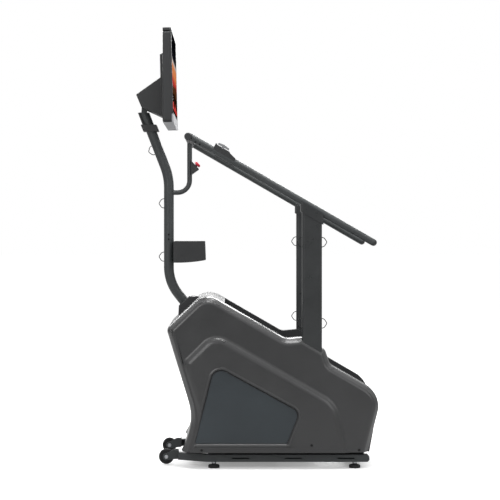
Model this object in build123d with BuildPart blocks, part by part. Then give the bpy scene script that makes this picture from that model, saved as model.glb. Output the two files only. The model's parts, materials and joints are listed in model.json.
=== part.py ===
from build123d import *
import os
from math import atan2, cos, degrees, hypot, pi, radians, sin, tan

# Stair climber, millimetres.
# +X points to the rear, where the user mounts, -X to the console, +Z up, and the machine is
# mirrored about Y = 0. The user's left is -Y. The origin is on the floor under the middle.

os.makedirs("parts", exist_ok=True)

# ---------------------------------------------------------------- driving dimensions
rail_reach = 592.0

# from the middle outward: steps, skirts, covers, chains, plates, posts and rails
step_half_width = 246.0
step_side_gap = 6.0
skirt_thickness = 3.0
cover_inner_y = step_half_width + step_side_gap + skirt_thickness
cover_edge_y = cover_inner_y + 57.0
cover_face_y = cover_edge_y + 35.0
chain_skirt_gap = 3.0
chain_width = 10.0
chain_inner_y = cover_inner_y + chain_skirt_gap
chain_outer_y = chain_inner_y + chain_width
plate_chain_gap = 6.0
plate_inner_y = chain_outer_y + plate_chain_gap
post_y = cover_inner_y + 55.0
rail_y = post_y + 10.0

# side covers
cover_base_z = 80.0
cover_bevel = 24.0
cover_wall = 4.0
bulge_height = 18.0
bulge_bevel = 20.0
recess_depth = 11.0
recess_bevel = 12.0
panel_thickness = 3.0
panel_gap = 0.5
edge_slope = 30.0
edge_x = 25.0
edge_z = 700.0
well_front_x = -146.0

# moving stairs
step_going = 205.0
step_rise = 160.0
tread_thickness = 24.0
riser_thickness = 5.0
step_gap = 3.0
groove_depth = 2.5
groove_width = 5.0
groove_spacing = 24.0
groove_count = 20
gusset_thickness = 7.0
step_lift = 8.0
drive_axis_x = -165.0
drive_axis_z = 576.0
shaft_radius = 15.0
link_half_height = 6.0
link_waist = 3.6
link_gap = 0.6
link_tip = 2.2
link_shoulder = 5.0
link_stagger = 1.5
links_per_step = 8
sprocket_thickness = 6.0
sprocket_gap = 0.4
running_clearance = 0.05

# how far joined features of one piece run into each other, and how far a cut passes through
weld_overlap = 1.0
through = 2000.0

# inner frame
plate_thickness = 6.0
plate_margin = 14.0
rail_width = 40.0
rail_top_z = 65.0
rail_bottom_z = 30.0
rail_wall = 3.0
rail_front_x = -372.0
rail_bend_x = -232.0
rail_bend_inset = 70.0
rail_rear_x = 556.0

# posts and handrails
post_front_x = 229.0
post_width = 96.0
post_depth = 60.0
post_wall = 3.0
post_corner = 12.0
post_foot_z = 440.0
rail_radius = 17.0
rail_slope = 30.0
rail_ref_x = 25.0
rail_ref_z = 1412.0
tube_wall = 2.5

# mast
mast_radius = 25.0
mast_wall = 3.0
mast_x = -430.0
mast_upper_lean = 21.2
mast_lower_lean = 38.5
mast_upper_bend_z = 1425.0
mast_lower_bend_z = 891.4
mast_upper_bend_radius = 300.0
mast_lower_bend_radius = 215.0
mast_top_z = 1749.0
mast_foot_z = 753.7

# drive line
brake_axis_x = -205.0
brake_axis_z = 190.0
drive_pulley_radius = 105.0
brake_pulley_radius = 21.0
belt_width = 14.0
belt_thickness = 3.0
flywheel_radius = 92.0
flywheel_thickness = 26.0

# ---------------------------------------------------------------- derived geometry
step_pitch = hypot(step_going, step_rise)
stair_angle = atan2(step_rise, step_going)
chain_radius = step_pitch / (2 * pi)
run_pitches = 2.0
wrap_pitches = 0.5
down_slope = Vector(cos(stair_angle), 0, -sin(stair_angle))
off_slope = Vector(sin(stair_angle), 0, cos(stair_angle))
drive_axis = Vector(drive_axis_x, 0, drive_axis_z)
idler_axis = drive_axis + down_slope * (run_pitches * step_pitch)
brake_axis = Vector(brake_axis_x, 0, brake_axis_z)
plate_outer_y = plate_inner_y + plate_thickness
rail_inner_y = plate_outer_y
rail_tan = tan(radians(rail_slope))
post_mid_x = post_front_x + post_width / 2


def edge_height(x):
    """Height of the covers' sloping top edge at x."""
    return edge_z - tan(radians(edge_slope)) * (x - edge_x)


def handrail_height(x):
    """Height of the handrail's centre line at x."""
    return rail_ref_z - rail_tan * (x - rail_ref_x)


def across(y=0.0):
    """Plane facing the user's left at Y = -y, with X to the right and Z up."""
    return Plane.XZ.offset(y)


def save(piece, name):
    piece.label = name
    export_step(piece, f"parts/{name}.step")


def right_hand(piece):
    """The same piece on the user's right."""
    with BuildPart() as other:
        mirror(piece, about=Plane.XZ)
    return other.part


def tube_path(points, radii):
    """Straight runs joined by arcs in the XZ plane."""
    with BuildLine(across()) as path:
        FilletPolyline(*points, radius=radii)
    return path.line


def swept_tube(path, radius, wall):
    """Round tube along a path, open at both ends."""
    with BuildPart() as tube:
        with BuildSketch(Plane(origin=path @ 0, z_dir=path % 0)):
            Circle(radius)
            Circle(radius - wall, mode=Mode.SUBTRACT)
        sweep(path=path)
    return tube.part


# ---------------------------------------------------------------- side covers
# Outline corners (x, z) with the radius that rounds each one: front foot, waist, front shoulder,
# hood peak, start, top and end of the shoulder round the post, rear, rear foot.
cover_points = [
    (-350.0, cover_base_z),
    (-299.7, 245.0),
    (-430.0, 676.0),
    (-242.4, 854.3),
    (150.0, edge_height(150.0)),
    (post_front_x + 4.0, 636.0),
    (post_front_x + post_width + 16.0, 574.0),
    (366.0, edge_height(366.0)),
    (621.0, edge_height(621.0)),
    (548.0, cover_base_z),
]
cover_foot_drop = 60.0
cover_front_lean = (cover_points[1][0] - cover_points[0][0]) / (cover_points[1][1] - cover_base_z)
cover_rear_lean = (cover_points[-2][0] - cover_points[-1][0]) / (
    cover_points[-2][1] - cover_base_z
)
cover_radii = [12.0, 270.0, 36.0, 100.0, 60.0, 22.0, 24.0, 40.0, 120.0, 12.0]

bulge_points = [
    (-330.0, 40.0),
    (-268.0, 245.0),
    (-349.0, 512.0),
    (-197.0, 662.0),
    (392.0, 322.0),
    (461.5, 40.0),
]
bulge_radii = [20.0, 220.0, 44.0, 96.0, 150.0, 30.0]

recess_points = [
    (-304.0, 112.0),
    (-202.0, 517.0),
    (229.0, 281.0),
    (162.0, 112.0),
]
recess_radii = [18.0, 60.0, 52.0, 18.0]


def rounded_face(points, radii, inset=0.0):
    """Face of a rounded outline, drawn in the sketch in use."""
    with BuildLine() as rim:
        FilletPolyline(*points, radius=radii, close=True)
    face = make_face(rim.edges(), mode=Mode.PRIVATE)
    if inset:
        face = offset(face, amount=-inset, mode=Mode.PRIVATE)
    add(face)


def cover_outline(inset=0.0, drop=0.0):
    """Side outline of the covers; drop carries it on below the foot, to be trimmed there."""
    front = (cover_points[0][0] - cover_front_lean * drop, cover_base_z - drop)
    rear = (cover_points[-1][0] - cover_rear_lean * drop, cover_base_z - drop)
    rounded_face([front] + cover_points[1:-1] + [rear], cover_radii, inset)


def post_section(clearance=0.0):
    """Section of the left post, drawn in the sketch in use on a level plane."""
    with Locations((post_mid_x, -post_y)):
        RectangleRounded(
            post_width + 2 * clearance, post_depth + 2 * clearance, post_corner + clearance
        )


bevel_depth = cover_face_y - cover_edge_y
bevel_taper = degrees(atan2(cover_bevel, bevel_depth))
bulge_face_y = cover_face_y + bulge_height
recess_floor_y = bulge_face_y - recess_depth
post_hole_gap = 1.0
cover_screw_places = [(-257.0, 93.0), (273.0, 117.0), (504.0, 92.0)]
screw_radius = 3.0
screw_head_radius = 6.0
screw_head_height = 2.5
standoff_radius = 8.0

with BuildPart() as left_cover:
    with BuildSketch(across(cover_inner_y)):
        cover_outline()
    extrude(amount=cover_edge_y - cover_inner_y)
    with BuildSketch(across(cover_edge_y)):
        cover_outline(drop=cover_foot_drop)
    extrude(amount=bevel_depth, taper=bevel_taper)
    with BuildSketch(across(cover_face_y)):
        rounded_face(bulge_points, bulge_radii)
    extrude(amount=bulge_height, taper=degrees(atan2(bulge_bevel, bulge_height)))
    with BuildSketch(across(cover_inner_y)):
        cover_outline(cover_wall, cover_foot_drop)
    extrude(amount=cover_edge_y - cover_inner_y, mode=Mode.SUBTRACT)
    with BuildSketch(across(cover_edge_y)):
        cover_outline(cover_wall, cover_foot_drop)
    extrude(amount=bevel_depth - cover_wall, taper=bevel_taper, mode=Mode.SUBTRACT)
    with BuildSketch(across(cover_face_y - 2 * cover_wall)):
        rounded_face(bulge_points, bulge_radii, bulge_bevel + cover_wall)
    extrude(amount=recess_floor_y - cover_face_y + cover_wall, mode=Mode.SUBTRACT)
    with BuildSketch(across(recess_floor_y)):
        rounded_face(recess_points, recess_radii, recess_bevel)
    extrude(
        amount=recess_depth,
        taper=-degrees(atan2(recess_bevel, recess_depth)),
        mode=Mode.SUBTRACT,
    )
    with BuildSketch(Plane.XY.offset(post_foot_z)):
        post_section(post_hole_gap)
    extrude(amount=edge_z - post_foot_z, mode=Mode.SUBTRACT)
    for place in cover_screw_places:
        with BuildSketch(across(cover_inner_y)):
            with Locations(place):
                Circle(screw_radius)
        extrude(amount=bulge_face_y - cover_inner_y, mode=Mode.SUBTRACT)
    with BuildSketch(Plane.XY.offset(cover_base_z)):
        Rectangle(through, through)
    extrude(amount=-cover_foot_drop, mode=Mode.SUBTRACT)

save(left_cover.part, "left_cover")
save(right_hand(left_cover.part), "right_cover")

with BuildPart() as left_side_panel:
    with BuildSketch(across(recess_floor_y)):
        rounded_face(recess_points, recess_radii, recess_bevel + panel_gap)
    extrude(amount=panel_thickness)

with BuildPart() as side_panels:
    add(left_side_panel.part)
    mirror(left_side_panel.part, about=Plane.XZ)

save(side_panels.part, "side_panels")

# ---------------------------------------------------------------- hood, skirts, entry step
hood_zone = [
    (-500.0, 50.0),
    (-262.0, 50.0),
    (-262.0, 480.0),
    (well_front_x, 690.0),
    (well_front_x, 900.0),
    (-500.0, 900.0),
]
hood_hole_gap = 2.0
skirt_clearance = 47.0
skirt_edge_gap = 0.5
skirt_reach = 900.0
entry_gap = 1.0
entry_groove_x = 502.0
entry_front_x = 434.0
entry_top_z = 236.0
entry_plate = 12.0

mast_end_z = mast_top_z + mast_radius
mast_points = [
    (mast_x - (mast_end_z - mast_upper_bend_z) * tan(radians(mast_upper_lean)), mast_end_z),
    (mast_x, mast_upper_bend_z),
    (mast_x, mast_lower_bend_z),
    (mast_x + (mast_lower_bend_z - mast_foot_z) * tan(radians(mast_lower_lean)), mast_foot_z),
]
mast_path = tube_path(mast_points, [mast_upper_bend_radius, mast_lower_bend_radius])
mast_foot = mast_path @ 1
mast_foot_dir = mast_path % 1


def mast_hole(gap):
    """Solid round the mast's lower end, for the holes that it passes."""
    with BuildPart() as core:
        with BuildSketch(Plane(origin=mast_foot, z_dir=-mast_foot_dir)):
            Circle(mast_radius + gap)
        extrude(amount=150)
    return core.part


with BuildPart() as front_cover:
    with BuildSketch(Plane.XZ):
        cover_outline()
        with BuildSketch(mode=Mode.SUBTRACT):
            cover_outline(cover_wall)
        with BuildLine() as zone:
            Polyline(*hood_zone, close=True)
        make_face(zone.edges(), mode=Mode.INTERSECT)
    extrude(amount=cover_inner_y, both=True)
    add(mast_hole(hood_hole_gap), mode=Mode.SUBTRACT)

save(front_cover.part, "front_cover")

skirt_line_start = drive_axis + off_slope * (chain_radius + skirt_clearance)
skirt_left = skirt_line_start - down_slope * skirt_reach
skirt_right = skirt_line_start + down_slope * skirt_reach

with BuildPart() as left_skirt:
    with BuildSketch(across(cover_inner_y - skirt_thickness)):
        cover_outline(skirt_edge_gap)
        with BuildLine() as above_steps:
            Polyline(
                (skirt_left.X, skirt_left.Z),
                (skirt_right.X, skirt_right.Z),
                (skirt_right.X, through),
                (skirt_left.X, through),
                close=True,
            )
        make_face(above_steps.edges(), mode=Mode.INTERSECT)
        with Locations((well_front_x + step_gap / 2, 0)):
            Rectangle(through, through, align=Align.MIN, mode=Mode.INTERSECT)
    extrude(amount=skirt_thickness)

with BuildPart() as inner_skirts:
    add(left_skirt.part)
    mirror(left_skirt.part, about=Plane.XZ)

save(inner_skirts.part, "inner_skirts")

entry_half_width = cover_inner_y - skirt_thickness

with BuildPart() as entry_step:
    with BuildSketch(Plane.XZ):
        cover_outline(entry_gap)
        with Locations((entry_front_x, 0)):
            Rectangle(through, entry_top_z, align=Align.MIN, mode=Mode.INTERSECT)
    extrude(amount=entry_half_width, both=True)
    with BuildSketch(Plane.XZ):
        cover_outline(entry_gap + cover_wall)
        with Locations((entry_front_x + cover_wall, 0)):
            Rectangle(through, entry_top_z - entry_plate, align=Align.MIN, mode=Mode.INTERSECT)
    extrude(amount=entry_half_width - cover_wall, both=True, mode=Mode.SUBTRACT)
    with BuildSketch(Plane.XY.offset(entry_top_z)):
        with Locations((entry_groove_x, 0)):
            with GridLocations(1, groove_spacing, 1, groove_count):
                Rectangle(through, groove_width)
    extrude(amount=-groove_depth, mode=Mode.SUBTRACT)

save(entry_step.part, "entry_step")

# ---------------------------------------------------------------- base frame
cross_tube_size = 40.0
cross_tube_places = [-205.0, 120.0, 515.0]
rail_end_chamfer = 9.0
rail_slot_places = [-69.0, 188.0, 442.0]
rail_slot_length = 84.0
rail_slot_height = 7.0
rail_mid_z = (rail_top_z + rail_bottom_z) / 2
rail_height = rail_top_z - rail_bottom_z
rail_outer_y = rail_inner_y + rail_width
rail_mid_y = rail_inner_y + rail_width / 2
foot_places = [(-199.0, rail_mid_y), (485.0, rail_mid_y)]
foot_stud_radius = 6.0
foot_stud_gap = 1.0


def rail_plan(wall=0.0):
    """Plan of the left rail: straight beside the plate, then bent inward to the front."""
    with BuildLine() as plan:
        Polyline(
            (rail_rear_x - wall, -rail_inner_y - wall),
            (rail_bend_x, -rail_inner_y - wall),
            (rail_front_x + wall, -rail_inner_y + rail_bend_inset - wall),
            (rail_front_x + wall, -rail_outer_y + rail_bend_inset + wall),
            (rail_bend_x, -rail_outer_y + wall),
            (rail_rear_x - wall, -rail_outer_y + wall),
            close=True,
        )
    make_face(plan.edges())


with BuildPart() as left_rail:
    with BuildSketch(Plane.XY.offset(rail_bottom_z)):
        rail_plan()
    extrude(amount=rail_height)
    rear_edges = left_rail.edges().filter_by(Axis.Y).group_by(Axis.X)[-1]
    chamfer(rear_edges, rail_end_chamfer)
    with BuildSketch(Plane.XY.offset(rail_bottom_z + rail_wall)):
        rail_plan(rail_wall + rail_end_chamfer / 2)
    extrude(amount=rail_height - 2 * rail_wall, mode=Mode.SUBTRACT)
    with BuildSketch(across(rail_outer_y)):
        with Locations(*[(x, rail_mid_z) for x in rail_slot_places]):
            SlotOverall(rail_slot_length, rail_slot_height)
    extrude(amount=-rail_width / 2, mode=Mode.SUBTRACT)
    with BuildSketch(Plane.XY.offset(rail_bottom_z)):
        with Locations(*[(x, -y) for x, y in foot_places]):
            Circle(foot_stud_radius + foot_stud_gap)
    extrude(amount=2 * rail_wall, mode=Mode.SUBTRACT)

with BuildPart() as base_rails:
    add(left_rail.part)
    mirror(left_rail.part, about=Plane.XZ)

save(base_rails.part, "base_rails")

member_size = 30.0
spacer_radius = 20.0
member_plane = Plane(
    origin=mast_foot + mast_foot_dir * (member_size / 2),
    x_dir=mast_foot_dir,
    z_dir=(0, -1, 0),
)
spacer_axis = (drive_axis + idler_axis) / 2

with BuildPart() as cross_tubes:
    with BuildSketch(Plane.XZ):
        with Locations(*[(x, rail_mid_z) for x in cross_tube_places]):
            Rectangle(cross_tube_size, rail_height)
            Rectangle(
                cross_tube_size - 2 * rail_wall, rail_height - 2 * rail_wall, mode=Mode.SUBTRACT
            )
    extrude(amount=plate_inner_y, both=True)
    with BuildSketch(member_plane):
        Rectangle(member_size, member_size)
        Rectangle(member_size - 2 * rail_wall, member_size - 2 * rail_wall, mode=Mode.SUBTRACT)
    extrude(amount=plate_inner_y, both=True)
    with BuildSketch(Plane.XZ):
        with Locations((spacer_axis.X, spacer_axis.Z)):
            Circle(spacer_radius)
            Circle(spacer_radius - rail_wall, mode=Mode.SUBTRACT)
    extrude(amount=plate_inner_y, both=True)

save(cross_tubes.part, "cross_tubes")

# ---------------------------------------------------------------- side plates and bearings
bearing_seat_radius = 26.0
bearing_flange_radius = 38.0
bearing_flange = 6.0
bearing_chain_gap = 2.5
bearing_nose = 6.0
bearing_inner_y = chain_outer_y + bearing_chain_gap
bearing_outer_y = plate_outer_y + bearing_flange + bearing_nose
bearing_axes = [drive_axis, idler_axis, brake_axis]
brake_shaft_radius = 12.0
shaft_radii = [shaft_radius, shaft_radius, brake_shaft_radius]
lightening_holes = [(-40.0, 262.0, 62.0), (92.0, 250.0, 46.0), (420.0, 250.0, 48.0), (30.0, 560.0, 46.0)]
plate_foot_front = -228.0
plate_foot_rear = 530.0
plate_foot_top = 130.0

with BuildPart() as left_plate:
    with BuildSketch(across(plate_inner_y)):
        cover_outline(plate_margin)
        with Locations((plate_foot_front, rail_bottom_z + rail_wall)):
            Rectangle(
                plate_foot_rear - plate_foot_front,
                plate_foot_top - rail_bottom_z - rail_wall,
                align=Align.MIN,
            )
        for axis in bearing_axes:
            with Locations((axis.X, axis.Z)):
                Circle(bearing_seat_radius + 2 * running_clearance, mode=Mode.SUBTRACT)
        for x, z, radius in lightening_holes:
            with Locations((x, z)):
                Circle(radius, mode=Mode.SUBTRACT)
    extrude(amount=plate_thickness)
    for place in cover_screw_places:
        with BuildSketch(across(plate_outer_y)):
            with Locations(place):
                Circle(standoff_radius)
                Circle(screw_radius, mode=Mode.SUBTRACT)
        extrude(amount=cover_face_y - cover_wall - plate_outer_y)

with BuildPart() as side_plates:
    add(left_plate.part)
    mirror(left_plate.part, about=Plane.XZ)

save(side_plates.part, "side_plates")

with BuildPart() as left_bearings:
    for axis, radius in zip(bearing_axes, shaft_radii):
        with BuildSketch(across(bearing_inner_y)):
            with Locations((axis.X, axis.Z)):
                Circle(bearing_seat_radius)
                Circle(radius + running_clearance, mode=Mode.SUBTRACT)
        extrude(amount=bearing_outer_y - bearing_inner_y)
        with BuildSketch(across(plate_outer_y)):
            with Locations((axis.X, axis.Z)):
                Circle(bearing_flange_radius)
                Circle(bearing_seat_radius - weld_overlap, mode=Mode.SUBTRACT)
        extrude(amount=bearing_flange)

with BuildPart() as shaft_bearings:
    add(left_bearings.part)
    mirror(left_bearings.part, about=Plane.XZ)

save(shaft_bearings.part, "shaft_bearings")

# ---------------------------------------------------------------- feet and transport wheels
foot_radius = 27.5
foot_disc = 15.0
foot_rim = 3.0
foot_stud_room = 2.0
foot_stud_top = rail_top_z - rail_wall - foot_stud_room
foot_neck_radius = 11.0
foot_neck_top = 20.0
locknut_size = 19.0
locknut_height = 8.0
foot_names = ["foot_front_left", "foot_rear_left", "foot_front_right", "foot_rear_right"]
foot_centres = [(x, side * y) for side in (-1, 1) for x, y in foot_places]

for name, centre in zip(foot_names, foot_centres):
    with BuildPart() as foot:
        with BuildSketch(Plane.XY):
            with Locations(centre):
                Circle(foot_radius)
        extrude(amount=foot_disc)
        chamfer(foot.edges().group_by(Axis.Z)[-1], foot_rim)
        with BuildSketch(Plane.XY.offset(foot_disc)):
            with Locations(centre):
                Circle(foot_neck_radius)
        extrude(amount=foot_neck_top - foot_disc)
        with BuildSketch(Plane.XY.offset(foot_neck_top)):
            with Locations(centre):
                Circle(foot_stud_radius)
        extrude(amount=foot_stud_top - foot_neck_top)
    save(foot.part, name)

with BuildPart() as foot_locknuts:
    with BuildSketch(Plane.XY.offset(rail_bottom_z - locknut_height)):
        with Locations(*foot_centres):
            RegularPolygon(locknut_size / 2, 6, major_radius=False)
            Circle(foot_stud_radius + running_clearance, mode=Mode.SUBTRACT)
    extrude(amount=locknut_height)

save(foot_locknuts.part, "foot_locknuts")

wheel_x = -434.0
wheel_z = 39.5
wheel_y = 198.0
wheel_radius = 37.0
wheel_width = 24.0
wheel_hub_radius = 15.0
wheel_hub_width = 27.0
wheel_dish = 3.0
wheel_rim = 4.0
wheel_tyre = 8.0
wheel_hub_lip = 2.0
fork_gap = 0.5
fork_plate = 4.0
fork_nose_radius = 17.0
fork_top_z = 74.0
fork_shelf = 24.0
axle_radius = 6.0
axle_bore = 3.0
axle_head_radius = 9.0
axle_head = 2.0
fork_inner = wheel_hub_width / 2 + fork_gap
fork_outer = fork_inner + fork_plate
fork_back_x = rail_front_x
fork_back_y = rail_outer_y - rail_bend_inset

with BuildPart() as left_wheel:
    with BuildSketch(across(wheel_y - wheel_hub_width / 2)):
        with Locations((wheel_x, wheel_z)):
            Circle(wheel_hub_radius)
            Circle(axle_radius + running_clearance, mode=Mode.SUBTRACT)
    extrude(amount=wheel_hub_width)
    with BuildSketch(across(wheel_y - wheel_width / 2)):
        with Locations((wheel_x, wheel_z)):
            Circle(wheel_radius)
            Circle(wheel_hub_radius - weld_overlap, mode=Mode.SUBTRACT)
    extrude(amount=wheel_width)
    rim_edges = left_wheel.edges().filter_by(
        lambda e: e.geom_type == GeomType.CIRCLE and abs(e.radius - wheel_radius) < 0.1
    )
    chamfer(rim_edges, wheel_rim)
    for y, direction in ((wheel_y - wheel_width / 2, 1), (wheel_y + wheel_width / 2, -1)):
        with BuildSketch(across(y)):
            with Locations((wheel_x, wheel_z)):
                Circle(wheel_radius - wheel_tyre)
                Circle(wheel_hub_radius + wheel_hub_lip, mode=Mode.SUBTRACT)
        extrude(amount=direction * wheel_dish, mode=Mode.SUBTRACT)

save(left_wheel.part, "left_wheel")
save(right_hand(left_wheel.part), "right_wheel")

with BuildPart() as left_fork:
    for y in (wheel_y - fork_outer, wheel_y + fork_inner):
        with BuildSketch(across(y)):
            with BuildLine() as cheek:
                Polyline(
                    (wheel_x, wheel_z + fork_nose_radius),
                    (fork_back_x - fork_shelf, fork_top_z),
                    (fork_back_x, fork_top_z),
                    (fork_back_x, rail_bottom_z),
                    (wheel_x, wheel_z - fork_nose_radius),
                    close=True,
                )
            make_face(cheek.edges())
            with Locations((wheel_x, wheel_z)):
                Circle(fork_nose_radius)
                Circle(axle_radius + running_clearance, mode=Mode.SUBTRACT)
        extrude(amount=fork_plate)
    with BuildSketch(Plane.YZ.offset(fork_back_x - fork_plate)):
        with Locations((-(wheel_y - fork_outer), rail_bottom_z)):
            Rectangle(
                fork_back_y - wheel_y + fork_outer,
                fork_top_z - rail_bottom_z,
                align=(Align.MAX, Align.MIN),
            )
    extrude(amount=fork_plate)

with BuildPart() as wheel_brackets:
    add(left_fork.part)
    mirror(left_fork.part, about=Plane.XZ)

save(wheel_brackets.part, "wheel_brackets")

with BuildPart() as left_axle:
    with BuildSketch(across(wheel_y - fork_outer)):
        with Locations((wheel_x, wheel_z)):
            Circle(axle_radius)
            Circle(axle_bore, mode=Mode.SUBTRACT)
    extrude(amount=2 * fork_outer)
    for y in (wheel_y - fork_outer - axle_head, wheel_y + fork_outer):
        with BuildSketch(across(y)):
            with Locations((wheel_x, wheel_z)):
                Circle(axle_head_radius)
                Circle(axle_bore, mode=Mode.SUBTRACT)
        extrude(amount=axle_head)

with BuildPart() as wheel_axles:
    add(left_axle.part)
    mirror(left_axle.part, about=Plane.XZ)

save(wheel_axles.part, "wheel_axles")

# ---------------------------------------------------------------- moving stairs
link_pitch = step_pitch / links_per_step
link_half = (link_pitch - link_gap) / 2
sprocket_radius = chain_radius - link_half_height - sprocket_gap
sprocket_valley = 7.0
sprocket_valley_out = 3.0
sprocket_teeth = 8
lug_half_length = 15.0
lug_height = 42.0
chain_mid_y = (chain_inner_y + chain_outer_y) / 2
plate_pair_y = chain_outer_y - chain_inner_y
drive_shaft_half = 306.0
shaft_end = 3.0
idler_shaft_half = bearing_outer_y + shaft_end
pulley_inner_y = 294.0
pulley_width = 16.0
upper_run_start = 0.0
drive_wrap_start = run_pitches
return_run_start = run_pitches + wrap_pitches
idler_wrap_start = 2 * run_pitches + wrap_pitches
first_step = 0.25


def loop_plane(pitches, extra_turn=0.0, y=0.0):
    """Plane on the chain line, so many step pitches along the loop from the foot of the stairs.

    Its x axis points down the stairs on the upper run and its y axis away from the shafts.
    """
    along, centre, turn = pitches, idler_axis, 0.0
    if pitches >= idler_wrap_start:
        along, turn = 0.0, pi + (pitches - idler_wrap_start) / wrap_pitches * pi
    elif pitches >= return_run_start:
        along, centre, turn = pitches - return_run_start, drive_axis, pi
    elif pitches >= drive_wrap_start:
        along, centre, turn = 0.0, drive_axis, (pitches - drive_wrap_start) / wrap_pitches * pi
    angle = turn - stair_angle
    forward = Vector(cos(angle), 0, sin(angle))
    outward = Vector(-sin(angle), 0, cos(angle))
    origin = centre + outward * chain_radius - forward * (along * step_pitch) + Vector(0, -y, 0)
    angle += extra_turn
    return Plane(origin=origin, x_dir=(cos(angle), 0, sin(angle)), z_dir=(0, -1, 0))


tread_back = -step_pitch / 2 * cos(stair_angle) + step_lift * sin(stair_angle)
tread_top = step_pitch / 2 * sin(stair_angle) + step_lift * cos(stair_angle)
nose = tread_back + step_going
nose_radius = 6.0
gusset_setback = 8.0


def step_solid(pitches):
    """One step: ribbed tread, riser, end gussets and the lugs that join it to the chains."""
    level = loop_plane(pitches, stair_angle)
    with BuildPart() as step:
        with BuildSketch(level):
            with Locations((nose, tread_top)):
                Rectangle(
                    step_going - step_gap, tread_thickness, align=(Align.MAX, Align.MAX)
                )
                Rectangle(riser_thickness, step_rise - step_gap, align=(Align.MAX, Align.MAX))
        extrude(amount=step_half_width, both=True)
        nose_edge = step.edges().filter_by(Axis.Y).sort_by_distance(
            level.from_local_coords((nose, tread_top, 0))
        )[0]
        fillet(nose_edge, nose_radius)
        tread_face = level * Plane(origin=(nose - step_going / 2, tread_top, 0), z_dir=(0, 1, 0))
        with BuildSketch(tread_face):
            with GridLocations(1, groove_spacing, 1, groove_count):
                Rectangle(step_going - groove_spacing, groove_width)
        extrude(amount=-groove_depth, mode=Mode.SUBTRACT)
        for y in (-step_half_width, step_half_width - gusset_thickness):
            with BuildSketch(level.offset(y)):
                with BuildLine() as gusset:
                    Polyline(
                        (tread_back + step_gap, tread_top - tread_thickness),
                        (nose - riser_thickness, tread_top - tread_thickness),
                        (nose - riser_thickness, tread_top - step_rise + step_gap),
                        (nose - riser_thickness - gusset_setback, tread_top - step_rise + step_gap),
                        close=True,
                    )
                make_face(gusset.edges())
            extrude(amount=gusset_thickness)
        for y in (step_half_width - weld_overlap, -chain_inner_y):
            with BuildSketch(loop_plane(pitches, 0.0, y)):
                with Locations((0, -link_half_height + weld_overlap)):
                    Rectangle(2 * lug_half_length, lug_height, align=(Align.CENTER, Align.MIN))
            extrude(amount=chain_inner_y - step_half_width + weld_overlap)
    return step.part


def chain_links(start, pitches):
    """Both chains' links from a place on the loop, as many as the stretch holds."""
    with BuildPart() as links:
        for k in range(round(pitches * links_per_step)):
            place = start + (k + 0.5) / links_per_step
            inset = (k % 2) * link_stagger
            for y in (chain_inner_y + inset, -chain_outer_y + inset):
                with BuildSketch(loop_plane(place, 0.0, y)):
                    with BuildLine() as side:
                        Polyline(
                            (link_half, link_tip),
                            (link_half - link_shoulder, link_half_height),
                            (0, link_waist),
                            (link_shoulder - link_half, link_half_height),
                            (-link_half, link_tip),
                            (-link_half, -link_tip),
                            (link_shoulder - link_half, -link_half_height),
                            (0, -link_waist),
                            (link_half - link_shoulder, -link_half_height),
                            (link_half, -link_tip),
                            close=True,
                        )
                    make_face(side.edges())
                extrude(amount=plate_pair_y - 2 * inset)
    return links.part


def shaft_with_sprockets(axis, half_span):
    """Shaft across the frame with a sprocket for each chain."""
    with BuildPart() as shaft:
        with BuildSketch(Plane.XZ):
            with Locations((axis.X, axis.Z)):
                Circle(shaft_radius)
        extrude(amount=half_span, both=True)
        for y in (chain_mid_y - sprocket_thickness / 2, -chain_mid_y - sprocket_thickness / 2):
            with BuildSketch(across(y)):
                with Locations((axis.X, axis.Z)):
                    Circle(sprocket_radius)
                    with PolarLocations(sprocket_radius + sprocket_valley_out, sprocket_teeth):
                        Circle(sprocket_valley, mode=Mode.SUBTRACT)
            extrude(amount=sprocket_thickness)
    return shaft.part


save(shaft_with_sprockets(drive_axis, drive_shaft_half), "drive_shaft")
save(shaft_with_sprockets(idler_axis, idler_shaft_half), "idler_shaft")
save(chain_links(upper_run_start, run_pitches), "upper_chains")
save(chain_links(drive_wrap_start, wrap_pitches), "drive_chain_wraps")
save(chain_links(return_run_start, run_pitches), "return_chains")
save(chain_links(idler_wrap_start, wrap_pitches), "idler_chain_wraps")

with BuildPart() as upper_steps:
    add(step_solid(first_step))
    add(step_solid(first_step + 1))

save(upper_steps.part, "upper_steps")
save(step_solid(first_step + 2), "turning_step")

with BuildPart() as return_steps:
    add(step_solid(first_step + 3))
    add(step_solid(first_step + 4))

save(return_steps.part, "return_steps")

# ---------------------------------------------------------------- brake and belt drive
belt_gap = 0.3
pulley_flange = 3.0
pulley_hub_radius = 24.0
pulley_rim = 9.0
pulley_web = 6.0
pulley_spokes = 5
spoke_hole_radius = 22.0
flywheel_gap = 2.0
flywheel_rim = 20.0
brake_yoke_length = 90.0
brake_yoke_half_width = 42.0
brake_yoke_top = 150.0
brake_yoke_corner = 14.0
brake_yoke_gap = 12.0
pulley_mid_y = pulley_inner_y + pulley_width / 2
brake_shaft_right = pulley_inner_y + pulley_width + shaft_end

with BuildPart() as drive_pulley:
    with BuildSketch(across(-pulley_inner_y - pulley_width)):
        with Locations((drive_axis.X, drive_axis.Z)):
            Circle(drive_pulley_radius)
            Circle(drive_pulley_radius - pulley_rim, mode=Mode.SUBTRACT)
            Circle(pulley_hub_radius)
            Circle(shaft_radius + running_clearance, mode=Mode.SUBTRACT)
    extrude(amount=pulley_width)
    with BuildSketch(across(-pulley_mid_y - pulley_web / 2)):
        with Locations((drive_axis.X, drive_axis.Z)):
            Circle(drive_pulley_radius - pulley_rim + weld_overlap)
            Circle(pulley_hub_radius - weld_overlap, mode=Mode.SUBTRACT)
            with PolarLocations((drive_pulley_radius + pulley_hub_radius) / 2, pulley_spokes):
                Circle(spoke_hole_radius, mode=Mode.SUBTRACT)
    extrude(amount=pulley_web)

save(drive_pulley.part, "drive_pulley")

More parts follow.
